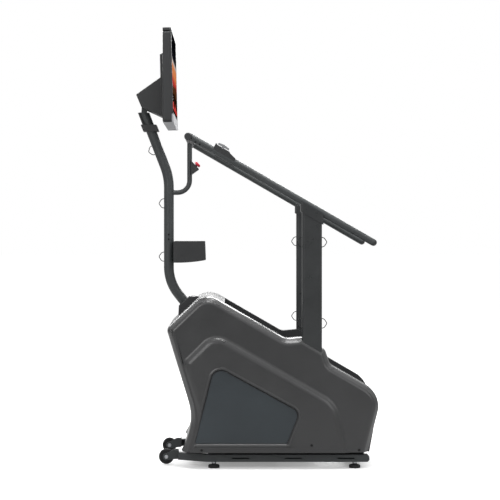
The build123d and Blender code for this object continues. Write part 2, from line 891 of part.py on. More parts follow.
with BuildPart() as brake_shaft:
    with BuildSketch(across(-brake_shaft_right)):
        with Locations((brake_axis.X, brake_axis.Z)):
            Circle(brake_shaft_radius)
    extrude(amount=brake_shaft_right + idler_shaft_half)
    with BuildSketch(across(-pulley_inner_y - pulley_width)):
        with Locations((brake_axis.X, brake_axis.Z)):
            Circle(brake_pulley_radius)
    extrude(amount=pulley_width)

save(brake_shaft.part, "brake_shaft")

with BuildPart() as flywheel:
    with BuildSketch(Plane.XZ):
        with Locations((brake_axis.X, brake_axis.Z)):
            Circle(flywheel_radius)
            Circle(brake_shaft_radius, mode=Mode.SUBTRACT)
    extrude(amount=flywheel_thickness / 2, both=True)
    for y in (-flywheel_thickness / 2, flywheel_thickness / 2):
        with BuildSketch(across(y)):
            with Locations((brake_axis.X, brake_axis.Z)):
                Circle(flywheel_radius - flywheel_rim)
                Circle(pulley_hub_radius, mode=Mode.SUBTRACT)
        extrude(amount=flywheel_thickness / 3 * (-1 if y > 0 else 1), mode=Mode.SUBTRACT)

save(flywheel.part, "flywheel")


def belt_loop(gap):
    """Outline of a loop round both pulleys, drawn in the sketch in use."""
    with BuildSketch(Plane.XZ, mode=Mode.PRIVATE) as loop:
        with Locations((drive_axis.X, drive_axis.Z)):
            Circle(drive_pulley_radius + gap)
        with Locations((brake_axis.X, brake_axis.Z)):
            Circle(brake_pulley_radius + gap)
        make_hull()
    return loop.sketch_local


with BuildPart() as drive_belt:
    with BuildSketch(across(-pulley_mid_y - belt_width / 2)):
        add(belt_loop(belt_gap + belt_thickness))
        add(belt_loop(belt_gap), mode=Mode.SUBTRACT)
    extrude(amount=belt_width)

save(drive_belt.part, "drive_belt")

with BuildPart() as brake_unit:
    with BuildSketch(Plane.XZ):
        with Locations((brake_axis.X, rail_top_z)):
            Rectangle(
                brake_yoke_length, brake_yoke_top - rail_top_z, align=(Align.CENTER, Align.MIN)
            )
    extrude(amount=brake_yoke_half_width, both=True)
    fillet(brake_unit.edges().filter_by(Axis.Y).group_by(Axis.Z)[-1], brake_yoke_corner)
    with BuildSketch(Plane.XZ):
        with Locations((brake_axis.X, brake_axis.Z)):
            Circle(flywheel_radius + flywheel_gap)
    extrude(amount=flywheel_thickness / 2 + flywheel_gap, both=True, mode=Mode.SUBTRACT)
    with BuildSketch(Plane.XZ):
        with Locations((brake_axis.X, brake_axis.Z)):
            Circle(pulley_hub_radius + brake_yoke_gap)
    extrude(amount=brake_yoke_half_width, both=True, mode=Mode.SUBTRACT)

save(brake_unit.part, "brake_unit")

# ---------------------------------------------------------------- mast, tubes and handrails
joint_gap = 0.1
support_radius = 12.5
support_wall = 2.0
support_start_z = 1345.0
support_x = -325.0
support_bend = 61.0
bar_radius = 18.0
bar_x = -323.0
bar_drop = 5.5
bar_z = handrail_height(bar_x) - bar_drop
cap_thickness = 6.0
cap_lip = 1.0
dome_steps = 4
rail_tip_x = rail_reach - rail_radius
rail_tip_z = handrail_height(rail_tip_x)
bar_half = rail_y + rail_radius



def above_mast():
    """What lies above the level top of the mast."""
    with BuildPart() as above:
        with BuildSketch(Plane.XY.offset(mast_top_z)):
            Rectangle(through, through)
        extrude(amount=through)
    return above.part


with BuildPart() as mast:
    add(swept_tube(mast_path, mast_radius, mast_wall))
    add(above_mast(), mode=Mode.SUBTRACT)

save(mast.part, "mast")

with BuildPart() as support_tube:
    add(
        swept_tube(
            tube_path(
                [(mast_x, support_start_z), (support_x, support_start_z), (support_x, bar_z)],
                [support_bend],
            ),
            support_radius,
            support_wall,
        )
    )
    with BuildSketch(Plane.XY.offset(support_start_z - 50)):
        with Locations((mast_x, 0)):
            Circle(mast_radius + joint_gap)
    extrude(amount=100, mode=Mode.SUBTRACT)
    with BuildSketch(Plane.XZ):
        with Locations((bar_x, bar_z)):
            Circle(bar_radius + joint_gap)
    extrude(amount=50, both=True, mode=Mode.SUBTRACT)

save(support_tube.part, "support_tube")

with BuildPart() as handlebar:
    with BuildSketch(Plane.XZ):
        with Locations((bar_x, bar_z)):
            Circle(bar_radius)
            Circle(bar_radius - tube_wall, mode=Mode.SUBTRACT)
    extrude(amount=bar_half, both=True)

save(handlebar.part, "handlebar")

rail_dir = Vector(cos(radians(rail_slope)), 0, -sin(radians(rail_slope)))
rail_up = Vector(sin(radians(rail_slope)), 0, cos(radians(rail_slope)))


def rail_plane(x):
    """Plane along the left handrail's centre line: x axis down the rail, y axis square to it."""
    origin = Vector(x, -rail_y, handrail_height(x))
    return Plane(origin=origin, x_dir=rail_dir, z_dir=(0, -1, 0))


with BuildPart() as left_handrail:
    with BuildSketch(Plane(origin=(bar_x, -rail_y, handrail_height(bar_x)), z_dir=rail_dir)):
        Circle(rail_radius)
        Circle(rail_radius - tube_wall, mode=Mode.SUBTRACT)
    extrude(amount=(rail_tip_x - bar_x) / cos(radians(rail_slope)))
    with BuildSketch(Plane.XZ):
        with Locations((bar_x, bar_z)):
            Circle(bar_radius + joint_gap)
    extrude(amount=2 * rail_y, both=True, mode=Mode.SUBTRACT)

save(left_handrail.part, "left_handrail")
save(right_hand(left_handrail.part), "right_handrail")

cap_rim = 3.5
dome_points = [
    (rail_radius * cos(pi / 2 * i / dome_steps), -rail_radius * sin(pi / 2 * i / dome_steps))
    for i in range(dome_steps + 1)
]

with BuildPart() as left_caps:
    with BuildSketch(across(bar_half)):
        with Locations((bar_x, bar_z)):
            Circle(bar_radius + cap_lip)
    extrude(amount=cap_thickness)
    chamfer(left_caps.edges().filter_by(GeomType.CIRCLE).group_by(Axis.Y)[0], cap_rim)
    with BuildSketch(Plane(origin=(rail_tip_x, -rail_y, rail_tip_z), x_dir=rail_up, z_dir=(0, -1, 0))):
        with BuildLine() as dome:
            Polyline((0, 0), *dome_points, close=True)
        make_face(dome.edges())
    revolve(axis=Axis((rail_tip_x, -rail_y, rail_tip_z), rail_dir))

with BuildPart() as tube_end_caps:
    add(left_caps.part)
    mirror(left_caps.part, about=Plane.XZ)

save(tube_end_caps.part, "tube_end_caps")

# ---------------------------------------------------------------- posts, saddles, band loops
saddle_overhang = 7.0
saddle_top = 4.0
saddle_drop = 46.5
saddle_half_width = 33.0
saddle_corner = 8.0
loop_wire = 2.0
loop_half = 23.0
loop_reach = 26.0
loop_foot = 5.0
loop_narrowing = 4.0
loop_corners = (5.0, 6.0, 9.0, 6.0, 5.0)
mast_loop_heights = [1020.0, 1290.0]
mast_lean_loop_z = 1568.0
post_loop_heights = [702.0, 1096.0]


def rail_core(gap):
    """Solid round the left handrail, for what fits against it."""
    with BuildPart() as core:
        with BuildSketch(Plane(origin=(bar_x, -rail_y, handrail_height(bar_x)), z_dir=rail_dir)):
            Circle(rail_radius + gap)
        extrude(amount=through)
    return core.part


def under_rail(front_x, rear_x, top, bottom):
    """Side view of a piece under the rail, between two depths below its centre line."""
    top_drop = top / cos(radians(rail_slope))
    bottom_drop = bottom / cos(radians(rail_slope))
    with BuildLine() as side:
        Polyline(
            (front_x, handrail_height(front_x) - top_drop),
            (rear_x, handrail_height(rear_x) - top_drop),
            (rear_x, handrail_height(rear_x) - bottom_drop),
            (front_x, handrail_height(front_x) - bottom_drop),
            close=True,
        )
    make_face(side.edges())


post_rear_x = post_front_x + post_width

with BuildPart() as left_post:
    with BuildSketch(Plane.XY.offset(post_foot_z)):
        post_section()
    extrude(amount=handrail_height(post_front_x) - post_foot_z)
    with BuildSketch(Plane.XY.offset(post_foot_z)):
        post_section(-post_wall)
    extrude(amount=handrail_height(post_front_x) - post_foot_z, mode=Mode.SUBTRACT)
    with BuildSketch(across(post_y - post_depth)):
        under_rail(
            post_front_x - post_depth, post_rear_x + post_depth, -through, rail_radius + joint_gap
        )
    extrude(amount=2 * post_depth, mode=Mode.SUBTRACT)

save(left_post.part, "left_post")
save(right_hand(left_post.part), "right_post")

with BuildPart() as left_saddle:
    with BuildSketch(across(post_y - saddle_half_width)):
        under_rail(
            post_front_x - saddle_overhang, post_rear_x + saddle_overhang, saddle_top, saddle_drop
        )
    extrude(amount=2 * saddle_half_width)
    fillet(left_saddle.edges().filter_by(Axis.Z), saddle_corner)
    with BuildSketch(Plane.XY.offset(edge_z)):
        post_section(joint_gap)
    extrude(amount=2 * edge_z, mode=Mode.SUBTRACT)
    add(rail_core(joint_gap), mode=Mode.SUBTRACT)

with BuildPart() as post_saddles:
    add(left_saddle.part)
    mirror(left_saddle.part, about=Plane.XZ)

save(post_saddles.part, "post_saddles")


def band_loop(root, outward, y=0.0):
    """Wire loop that stands out from a tube at root, in the XZ plane."""
    plane = Plane(origin=root + Vector(0, y, 0), x_dir=outward, z_dir=(0, -1, 0))
    with BuildPart() as loop:
        with BuildLine(plane) as wire:
            FilletPolyline(
                (joint_gap, loop_half),
                (loop_foot, loop_half),
                (loop_reach / 2, loop_half - loop_narrowing),
                (loop_reach, 0),
                (loop_reach / 2, loop_narrowing - loop_half),
                (loop_foot, -loop_half),
                (joint_gap, -loop_half),
                radius=loop_corners,
            )
        with BuildSketch(Plane(origin=wire.line @ 0, z_dir=wire.line % 0)):
            RegularPolygon(loop_wire, 8)
        sweep(path=wire.line)
    return loop.part


lean = radians(mast_upper_lean)


def mast_axis_x(z):
    """X of the mast's centre line at height z, on its upper leaning part."""
    return mast_x - (z - mast_upper_bend_z) * tan(lean)


lean_loop_root = Vector(
    mast_axis_x(mast_lean_loop_z), 0, mast_lean_loop_z
) + Vector(-cos(lean), 0, -sin(lean)) * mast_radius

with BuildPart() as band_loops:
    for z in mast_loop_heights:
        add(band_loop(Vector(mast_x - mast_radius, 0, z), (-1, 0, 0)))
    add(band_loop(lean_loop_root, (-cos(lean), 0, -sin(lean))))
    for z in post_loop_heights:
        for y in (-post_y, post_y):
            add(band_loop(Vector(post_front_x, 0, z), (-1, 0, 0), y))
            add(band_loop(Vector(post_rear_x, 0, z), (1, 0, 0), y))

save(band_loops.part, "band_loops")

# ---------------------------------------------------------------- fasteners
shank_gap = 0.1
mast_bolt_heights = [1108.0, 1132.0]
bolt_head_radius = 5.0
bolt_head_height = 3.0
rail_bolt_places = [-283.0, -263.0]
rail_bolt_turn = 35.0
screw_faces = [bulge_face_y, bulge_face_y, cover_face_y]
screw_shank = 10.0

with BuildPart() as left_screws:
    for place, face_y in zip(cover_screw_places, screw_faces):
        with BuildSketch(across(face_y)):
            with Locations(place):
                Circle(screw_head_radius)
        extrude(amount=screw_head_height)
        with BuildSketch(across(cover_face_y - cover_wall - screw_shank)):
            with Locations(place):
                Circle(screw_radius - shank_gap)
        extrude(amount=face_y - cover_face_y + cover_wall + screw_shank)

with BuildPart() as cover_screws:
    add(left_screws.part)
    mirror(left_screws.part, about=Plane.XZ)

save(cover_screws.part, "cover_screws")

turn = radians(rail_bolt_turn)
rail_bolt_dir = Vector(0, -1, 0) * cos(turn) - rail_up * sin(turn)

with BuildPart() as left_bolts:
    for z in mast_bolt_heights:
        with BuildSketch(across(mast_radius)):
            with Locations((mast_x, z)):
                RegularPolygon(bolt_head_radius, 6)
        extrude(amount=bolt_head_height)
    for x in rail_bolt_places:
        root = Vector(x, -rail_y, handrail_height(x)) + rail_bolt_dir * rail_radius
        with BuildSketch(Plane(origin=root, z_dir=rail_bolt_dir)):
            RegularPolygon(bolt_head_radius, 6)
        extrude(amount=bolt_head_height)

with BuildPart() as frame_bolts:
    add(left_bolts.part)
    mirror(left_bolts.part, about=Plane.XZ)

save(frame_bolts.part, "frame_bolts")

# ---------------------------------------------------------------- mast fittings
mast_cover_half = 62.0
hood_slope = atan2(
    cover_points[3][1] - cover_points[2][1], cover_points[3][0] - cover_points[2][0]
)
mast_cover_low_x = -382.0
mast_cover_rear_x = -255.0
mast_cover_top_z = 822.0
mast_cover_drop = 25.0
mast_cover_corner = 5.0
mast_cover_rise = 54.0
mast_cover_shoulder_x = -325.0
mast_cover_front_lean = 4.0
collar_length = 80.0
collar_foot_z = 1652.4
collar_head_z = 1687.2
collar_half_width = 32.0
collar_corner = 3.0
lug_reach = 29.0
lug_root = 21.0
lug_half_width = 19.0
lug_top_z = 1748.0
tray_front_x = mast_x + mast_radius
tray_rear_x = -243.0
tray_top_z = 1099.0
tray_bottom_z = 991.0
tray_rear_bottom_z = 1004.0
tray_half_width = 75.0
tray_sheet = 2.5
tray_lean = 4.0
tray_belly = 2.0
tray_corner = 6.0
estop_half_width = 20.0
estop_top = (-318.0, 1508.0)
estop_tip = (-276.0, 1462.0)
estop_bottom = (-318.0, 1432.0)
estop_travel = 4.0
estop_tip_radius = 4.0
button_stem_room = 1.0
button_head_gap = 0.5
button_stem_radius = 8.0
button_head_radius = 17.0
button_head_height = 13.0
button_head_rim = 4.0
button_stem_depth = 12.0
button_place = 0.6


def slope_height(x):
    """Height of the hood's front slope at x."""
    return cover_points[2][1] + tan(hood_slope) * (x - cover_points[2][0])


mast_cover_foot_z = slope_height(mast_cover_low_x) - mast_cover_drop

with BuildPart() as mast_base_cover:
    with BuildSketch(Plane.XZ):
        with BuildLine() as side:
            Polyline(
                (mast_cover_low_x, mast_cover_foot_z),
                (
                    mast_cover_low_x + mast_cover_front_lean,
                    slope_height(mast_cover_low_x) + mast_cover_rise,
                ),
                (mast_cover_shoulder_x, mast_cover_top_z),
                (mast_cover_rear_x, mast_cover_top_z),
                (mast_cover_rear_x, mast_cover_foot_z),
                close=True,
            )
        make_face(side.edges())
    extrude(amount=mast_cover_half, both=True)
    side_edges = mast_base_cover.faces().filter_by(Axis.Y).edges()
    fillet(side_edges, mast_cover_corner)
    with BuildSketch(Plane.XZ):
        cover_outline()
    extrude(amount=through, both=True, mode=Mode.SUBTRACT)
    add(mast_hole(joint_gap), mode=Mode.SUBTRACT)

save(mast_base_cover.part, "mast_base_cover")

mast_up = Vector(-sin(lean), 0, cos(lean))
collar_foot = Vector(mast_axis_x(collar_foot_z), 0, collar_foot_z)

with BuildPart() as mast_collar:
    with BuildSketch(Plane.XZ):
        with BuildLine() as side:
            Polyline(
                (mast_axis_x(collar_foot_z) - collar_length / 2, collar_foot_z),
                (mast_axis_x(collar_foot_z) + collar_length / 2, collar_foot_z),
                (mast_axis_x(collar_head_z) + collar_length / 2, collar_head_z),
                (mast_axis_x(collar_head_z) - collar_length / 2, collar_head_z),
                close=True,
            )
        make_face(side.edges())
    extrude(amount=collar_half_width, both=True)
    fillet(mast_collar.edges().filter_by(Axis.Y), collar_corner)
    with BuildSketch(Plane.XZ):
        with BuildLine() as lug:
            Polyline(
                *[
                    (mast_axis_x(z) - reach / cos(lean), z)
                    for z, reach in (
                        (collar_foot_z + collar_corner, lug_root),
                        (collar_foot_z + collar_corner, lug_reach),
                        (lug_top_z, lug_reach),
                        (lug_top_z, lug_root),
                    )
                ],
                close=True,
            )
        make_face(lug.edges())
    extrude(amount=lug_half_width, both=True)
    with BuildSketch(Plane(origin=collar_foot, z_dir=mast_up)):
        Circle(mast_radius + joint_gap)
    extrude(amount=through, both=True, mode=Mode.SUBTRACT)

save(mast_collar.part, "mast_collar")

with BuildPart() as bottle_tray:
    with BuildSketch(Plane.XZ):
        with BuildLine() as side:
            Line((tray_front_x, tray_bottom_z), (tray_front_x, tray_top_z))
            Line((tray_front_x, tray_top_z), (tray_rear_x - tray_lean, tray_top_z))
            Line((tray_rear_x - tray_lean, tray_top_z), (tray_rear_x, tray_rear_bottom_z))
            ThreePointArc(
                (tray_rear_x, tray_rear_bottom_z),
                ((tray_front_x + tray_rear_x) / 2, tray_bottom_z + tray_belly),
                (tray_front_x, tray_bottom_z),
            )
        make_face(side.edges())
    extrude(amount=tray_half_width, both=True)
    fillet(bottle_tray.edges().filter_by(Axis.Z), tray_corner)
    with BuildSketch(Plane.XY.offset(tray_rear_bottom_z + tray_sheet)):
        with Locations((tray_front_x + tray_sheet, 0)):
            Rectangle(
                tray_rear_x - tray_front_x - 2 * tray_sheet - tray_lean,
                2 * (tray_half_width - tray_sheet),
                align=(Align.MIN, Align.CENTER),
            )
    extrude(amount=tray_top_z, mode=Mode.SUBTRACT)

save(bottle_tray.part, "bottle_tray")

estop_face = Vector(estop_tip[0] - estop_top[0], 0, estop_tip[1] - estop_top[1])
button_origin = Vector(estop_top[0], 0, estop_top[1]) + estop_face * button_place
button_axis = Vector(-estop_face.Z, 0, estop_face.X).normalized()
button_plane = Plane(origin=button_origin, z_dir=button_axis)

with BuildPart() as estop_housing:
    with BuildSketch(Plane.XZ):
        with BuildLine() as side:
            Polyline(estop_top, estop_tip, estop_bottom, close=True)
        make_face(side.edges())
    extrude(amount=estop_half_width, both=True)
    tip_edge = estop_housing.edges().filter_by(Axis.Y).sort_by(Axis.X)[-1]
    fillet(tip_edge, estop_tip_radius)
    with BuildSketch(Plane.XY):
        with Locations((support_x, 0)):
            Circle(support_radius + joint_gap)
    extrude(amount=through, mode=Mode.SUBTRACT)
    with BuildSketch(button_plane):
        Circle(button_stem_radius + running_clearance)
    extrude(amount=-(button_stem_depth + estop_travel + button_stem_room), mode=Mode.SUBTRACT)

save(estop_housing.part, "estop_housing")

with BuildPart() as estop_button:
    with BuildSketch(button_plane.offset(-button_stem_depth)):
        Circle(button_stem_radius)
    extrude(amount=button_stem_depth + estop_travel + weld_overlap)
    with BuildSketch(button_plane.offset(estop_travel + button_head_gap)):
        Circle(button_head_radius)
    extrude(amount=button_head_height)
    head_rim = estop_button.edges().filter_by(GeomType.CIRCLE).sort_by(
        lambda e: (e.center() - button_origin).dot(button_axis)
    )[-1]
    chamfer(head_rim, button_head_rim)

save(estop_button.part, "estop_button")

# ---------------------------------------------------------------- control pods on the handrails
pod_x = -194.0
pod_half_width = 17.0
pod_front = -12.0
pod_rear = 64.0
pod_strip_rear = 106.0
pod_strip_top = 26.0
pod_top = 31.5
pod_lip = 4.0
pod_lip_lean = 2.0
pod_step = 8.0
pod_corners = (0.0, 3.0, 1.0, 0.0, 4.0, 3.0, 0.0, 0.0)
toggle_mid = 27.0
toggle_half_length = 31.0
toggle_gap = 4.5
toggle_thickness = 8.0
toggle_boss_radius = 6.0
toggle_boss_gap = 0.3
toggle_crown = 4.0
toggle_bevel = 3.0
toggle_inset = 2.0
pod_plane = rail_plane(pod_x)

with BuildPart() as left_pod:
    with BuildSketch(pod_plane):
        with BuildLine() as side:
            FilletPolyline(
                (pod_front, 0),
                (pod_front - pod_lip_lean, pod_top + pod_lip),
                (pod_front + pod_lip, pod_top + pod_lip),
                (pod_front + pod_lip + pod_lip_lean, pod_top),
                (pod_rear, pod_top),
                (pod_rear + pod_step, pod_strip_top),
                (pod_strip_rear, rail_radius),
                (pod_strip_rear, 0),
                radius=pod_corners,
                close=True,
            )
        make_face(side.edges())
    extrude(amount=pod_half_width, both=True)
    with BuildSketch(pod_plane):
        with Locations((toggle_mid, pod_top)):
            Circle(toggle_boss_radius + toggle_boss_gap)
    extrude(amount=pod_half_width, both=True, mode=Mode.SUBTRACT)
    add(rail_core(joint_gap), mode=Mode.SUBTRACT)
    with BuildSketch(pod_plane):
        with Locations(((pod_front + pod_strip_rear) / 2, -rail_radius)):
            Rectangle(2 * pod_strip_rear, 2 * rail_radius)
    extrude(amount=2 * pod_half_width, both=True, mode=Mode.SUBTRACT)

with BuildPart() as control_pods:
    add(left_pod.part)
    mirror(left_pod.part, about=Plane.XZ)

save(control_pods.part, "control_pods")

with BuildPart() as left_toggle:
    with BuildSketch(pod_plane):
        with BuildLine() as side:
            low = pod_top + toggle_gap
            Polyline(
                (toggle_mid - toggle_half_length, low),
                (toggle_mid + toggle_half_length, low),
                (toggle_mid + toggle_half_length - toggle_bevel, low + toggle_thickness),
                (toggle_mid, low + toggle_thickness + toggle_crown),
                (toggle_mid - toggle_half_length + toggle_bevel, low + toggle_thickness),
                close=True,
            )
        make_face(side.edges())
        with Locations((toggle_mid, pod_top)):
            Circle(toggle_boss_radius)
    extrude(amount=pod_half_width - toggle_inset, both=True)

save(left_toggle.part, "left_toggle")
save(right_hand(left_toggle.part), "right_toggle")

# ---------------------------------------------------------------- console
console_lean = 1.3
console_face_x = -396.0
console_foot_z = 1681.0
console_half_width = 305.0
console_height = 461.0
console_top = console_foot_z + console_height
bezel_depth = 7.0
housing_depth = 42.0
console_depth = 66.0
console_back_x = console_face_x - 52.5
housing_wall = 4.0
chin_height = 40.0
cap_height = 16.0
glass_bottom = console_foot_z + chin_height
glass_top = console_top - cap_height
glass_margin = 10.0
glass_depth = 5.0
glass_inset = 1.0
housing_corner = 14.0
housing_rim = 8.0
cap_inset = 2.0
cap_corner = 4.0
glass_corner = 8.0
swell_foot = console_foot_z + 23.0
swell_head = console_top - 110.0
swell_half_width = console_half_width - 73.0
swell_out = 20.0
swell_taper = 30.0
chin_dip = 14.0
chin_front = 2.0
chin_round = 36.0
chin_round_sag = 7.0
wedge_half_width = 70.0
wedge_wall = 4.0
neck_slot_half = 32.0
neck_half_width = 16.0
neck_depth = 26.0
neck_root = 60.0
neck_seat = 6.0
hinge_x = console_face_x - 154.0
hinge_z = console_foot_z + 121.0
hinge_pin_radius = 8.0
hinge_eye_radius = 17.0

face_up = Vector(-sin(radians(console_lean)), 0, cos(radians(console_lean)))
face_out = Vector(cos(radians(console_lean)), 0, sin(radians(console_lean)))
console_foot = Vector(console_face_x, 0, console_foot_z)


def console_plane(depth):
    """Plane parallel to the screen, so deep behind its face; x to the user's right, y up."""
    return Plane(origin=console_foot - face_out * depth, x_dir=(0, 1, 0), z_dir=face_out)


def face_rectangle(half_width, foot, head, corner):
    """Rounded rectangle on a console plane, between two heights."""
    with Locations((0, (foot + head) / 2 - console_foot_z)):
        RectangleRounded(2 * half_width, head - foot, corner)


def behind_console():
    """What lies behind the upright back of the housing."""
    with BuildPart() as behind:
        with BuildSketch(Plane.YZ.offset(console_back_x)):
            Rectangle(through, 2 * console_top)
        extrude(amount=-through)
    return behind.part


with BuildPart() as console_housing:
    with BuildSketch(console_plane(bezel_depth)):
        face_rectangle(console_half_width, console_foot_z, glass_top, housing_corner)
    extrude(amount=-(console_depth - bezel_depth))
    add(behind_console(), mode=Mode.SUBTRACT)
    back_rim = console_housing.faces().sort_by(Axis.X)[0].edges()
    fillet(back_rim, housing_rim)
    with BuildSketch(console_plane(housing_depth)):
        face_rectangle(swell_half_width, swell_foot, swell_head, housing_corner)
    extrude(amount=-swell_out, taper=swell_taper)
    with BuildSketch(console_plane(bezel_depth)):
        face_rectangle(
            console_half_width - housing_wall,
            console_foot_z + housing_wall,
            glass_top - housing_wall,
            housing_corner - housing_wall,
        )
    extrude(amount=-(housing_depth - bezel_depth - housing_wall), mode=Mode.SUBTRACT)
    with BuildSketch(console_plane(bezel_depth)):
        face_rectangle(
            swell_half_width - swell_out - housing_wall,
            swell_foot + swell_out + housing_wall,
            swell_head - swell_out - housing_wall,
            housing_corner - housing_wall,
        )
    extrude(amount=-(housing_depth + swell_out - bezel_depth - housing_wall), mode=Mode.SUBTRACT)

save(console_housing.part, "console_housing")

with BuildPart() as console_bezel:
    with BuildSketch(console_plane(bezel_depth)):
        face_rectangle(console_half_width, glass_bottom, console_top, housing_corner)
    extrude(amount=bezel_depth)
    with BuildSketch(console_plane(housing_depth)):
        face_rectangle(console_half_width - cap_inset, glass_top, console_top, cap_corner)
    extrude(amount=housing_depth - bezel_depth)
    with BuildSketch(console_plane(0)):
        face_rectangle(
            console_half_width - glass_margin,
            glass_bottom + glass_margin,
            glass_top + glass_margin,
            glass_corner,
        )
    extrude(amount=-glass_depth, mode=Mode.SUBTRACT)

save(console_bezel.part, "console_bezel")

with BuildPart() as screen_glass:
    with BuildSketch(console_plane(glass_depth)):
        face_rectangle(
            console_half_width - glass_margin,
            glass_bottom + glass_margin,
            glass_top + glass_margin,
            glass_corner,
        )
    extrude(amount=glass_depth - glass_inset)

save(screen_glass.part, "screen_glass")

# rounding of the chin's underside, from the back of the housing forward and down
under_back = (console_back_x, console_foot_z + 2.0)
under_front = (console_back_x + chin_round, console_foot_z - chin_dip - 2.0)
under_middle = (
    (under_back[0] + under_front[0]) / 2 - chin_round_sag / 2,
    (under_back[1] + under_front[1]) / 2 - chin_round_sag,
)

with BuildPart() as console_chin:
    with BuildSketch(console_plane(-chin_front)):
        with BuildLine() as front:
            Line((-console_half_width, 0), (-console_half_width, glass_bottom - console_foot_z))
            Line(
                (-console_half_width, glass_bottom - console_foot_z),
                (console_half_width, glass_bottom - console_foot_z),
            )
            Line((console_half_width, glass_bottom - console_foot_z), (console_half_width, 0))
            ThreePointArc((console_half_width, 0), (0, -chin_dip), (-console_half_width, 0))
        make_face(front.edges())
    extrude(amount=-(console_depth + chin_front))
    add(behind_console(), mode=Mode.SUBTRACT)
    with BuildSketch(console_plane(bezel_depth - joint_gap)):
        with Locations((0, glass_bottom - console_foot_z)):
            Rectangle(
                through,
                glass_bottom - console_foot_z,
                align=(Align.CENTER, Align.MAX),
            )
    extrude(amount=-console_depth, mode=Mode.SUBTRACT)
    with BuildSketch(Plane.XZ):
        with BuildLine() as under:
            ThreePointArc(under_back, under_middle, under_front)
            Polyline(
                under_front,
                (under_front[0], under_front[1] - chin_height),
                (under_back[0] - chin_height, under_front[1] - chin_height),
                (under_back[0] - chin_height, under_back[1]),
                under_back,
            )
        make_face(under.edges())
    extrude(amount=through, both=True, mode=Mode.SUBTRACT)

save(console_chin.part, "console_chin")

wedge_head = console_foot_z + 245.0
wedge_foot = console_foot_z + 43.0
# corners behind the hinge, above it and below it, from its axis
wedge_corners = [(-42.0, 33.0), (-15.0, -31.0), (12.0, -42.0)]
slot_front_x = hinge_x - 50.0
slot_rear_x = hinge_x + 38.0
slot_foot_z = hinge_z - 102.0
slot_head_z = hinge_z - 10.0


def swell_back(z):
    """X of the console's back at height z."""
    depth = (housing_depth + swell_out) / cos(radians(console_lean))
    return console_face_x - depth - (z - console_foot_z) * tan(radians(console_lean))


wedge_points = [
    (swell_back(wedge_head) - joint_gap, wedge_head),
    *[(hinge_x + dx, hinge_z + dz) for dx, dz in wedge_corners],
    (swell_back(wedge_foot) - joint_gap, wedge_foot),
]


def wedge_outline(inset=0.0):
    with BuildLine() as side:
        Polyline(*wedge_points, close=True)
    face = make_face(side.edges(), mode=Mode.PRIVATE)
    if inset:
        face = offset(face, amount=-inset, kind=Kind.INTERSECTION, mode=Mode.PRIVATE)
    add(face)


with BuildPart() as neck_cover:
    with BuildSketch(Plane.XZ):
        wedge_outline()
    extrude(amount=wedge_half_width, both=True)
    with BuildSketch(Plane.XZ):
        wedge_outline(wedge_wall)
    extrude(amount=wedge_half_width - wedge_wall, both=True, mode=Mode.SUBTRACT)
    with BuildSketch(Plane.XY.offset(slot_foot_z)):
        with Locations(((slot_front_x + slot_rear_x) / 2, 0)):
            Rectangle(slot_rear_x - slot_front_x, 2 * neck_slot_half)
    extrude(amount=slot_head_z - slot_foot_z, mode=Mode.SUBTRACT)

save(neck_cover.part, "neck_cover")

with BuildPart() as hinge_pin:
    with BuildSketch(Plane.XZ):
        with Locations((hinge_x, hinge_z)):
            Circle(hinge_pin_radius)
    extrude(amount=wedge_half_width - wedge_wall, both=True)

save(hinge_pin.part, "hinge_pin")

mast_end = Vector(mast_axis_x(mast_top_z), 0, mast_top_z)
neck_foot = mast_end - mast_up * neck_root

with BuildPart() as console_neck:
    with BuildSketch(Plane(origin=neck_foot, z_dir=mast_up)):
        Circle(mast_radius - mast_wall)
    extrude(amount=neck_root + mast_radius)
    add(above_mast(), mode=Mode.SUBTRACT)
    with BuildSketch(Plane.XZ):
        with BuildLine() as side:
            Polyline(
                (mast_end.X - neck_depth / 2, mast_end.Z - neck_seat),
                (mast_end.X + neck_depth / 2, mast_end.Z - neck_seat),
                (hinge_x + hinge_eye_radius - weld_overlap, hinge_z),
                (hinge_x - hinge_eye_radius + weld_overlap, hinge_z),
                close=True,
            )
        make_face(side.edges())
        with Locations((hinge_x, hinge_z)):
            Circle(hinge_eye_radius)
    extrude(amount=neck_half_width, both=True)
    with BuildSketch(Plane.XZ):
        with Locations((hinge_x, hinge_z)):
            Circle(hinge_pin_radius + running_clearance)
    extrude(amount=through, both=True, mode=Mode.SUBTRACT)

save(console_neck.part, "console_neck")
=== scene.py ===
"""Finish, fittings and studio for the stair climber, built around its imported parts."""

import json
import math

import bmesh
import bpy
from bpy.props import FloatProperty, FloatVectorProperty, IntProperty, PointerProperty
from mathutils import Matrix, Vector
from mathutils.geometry import intersect_point_line

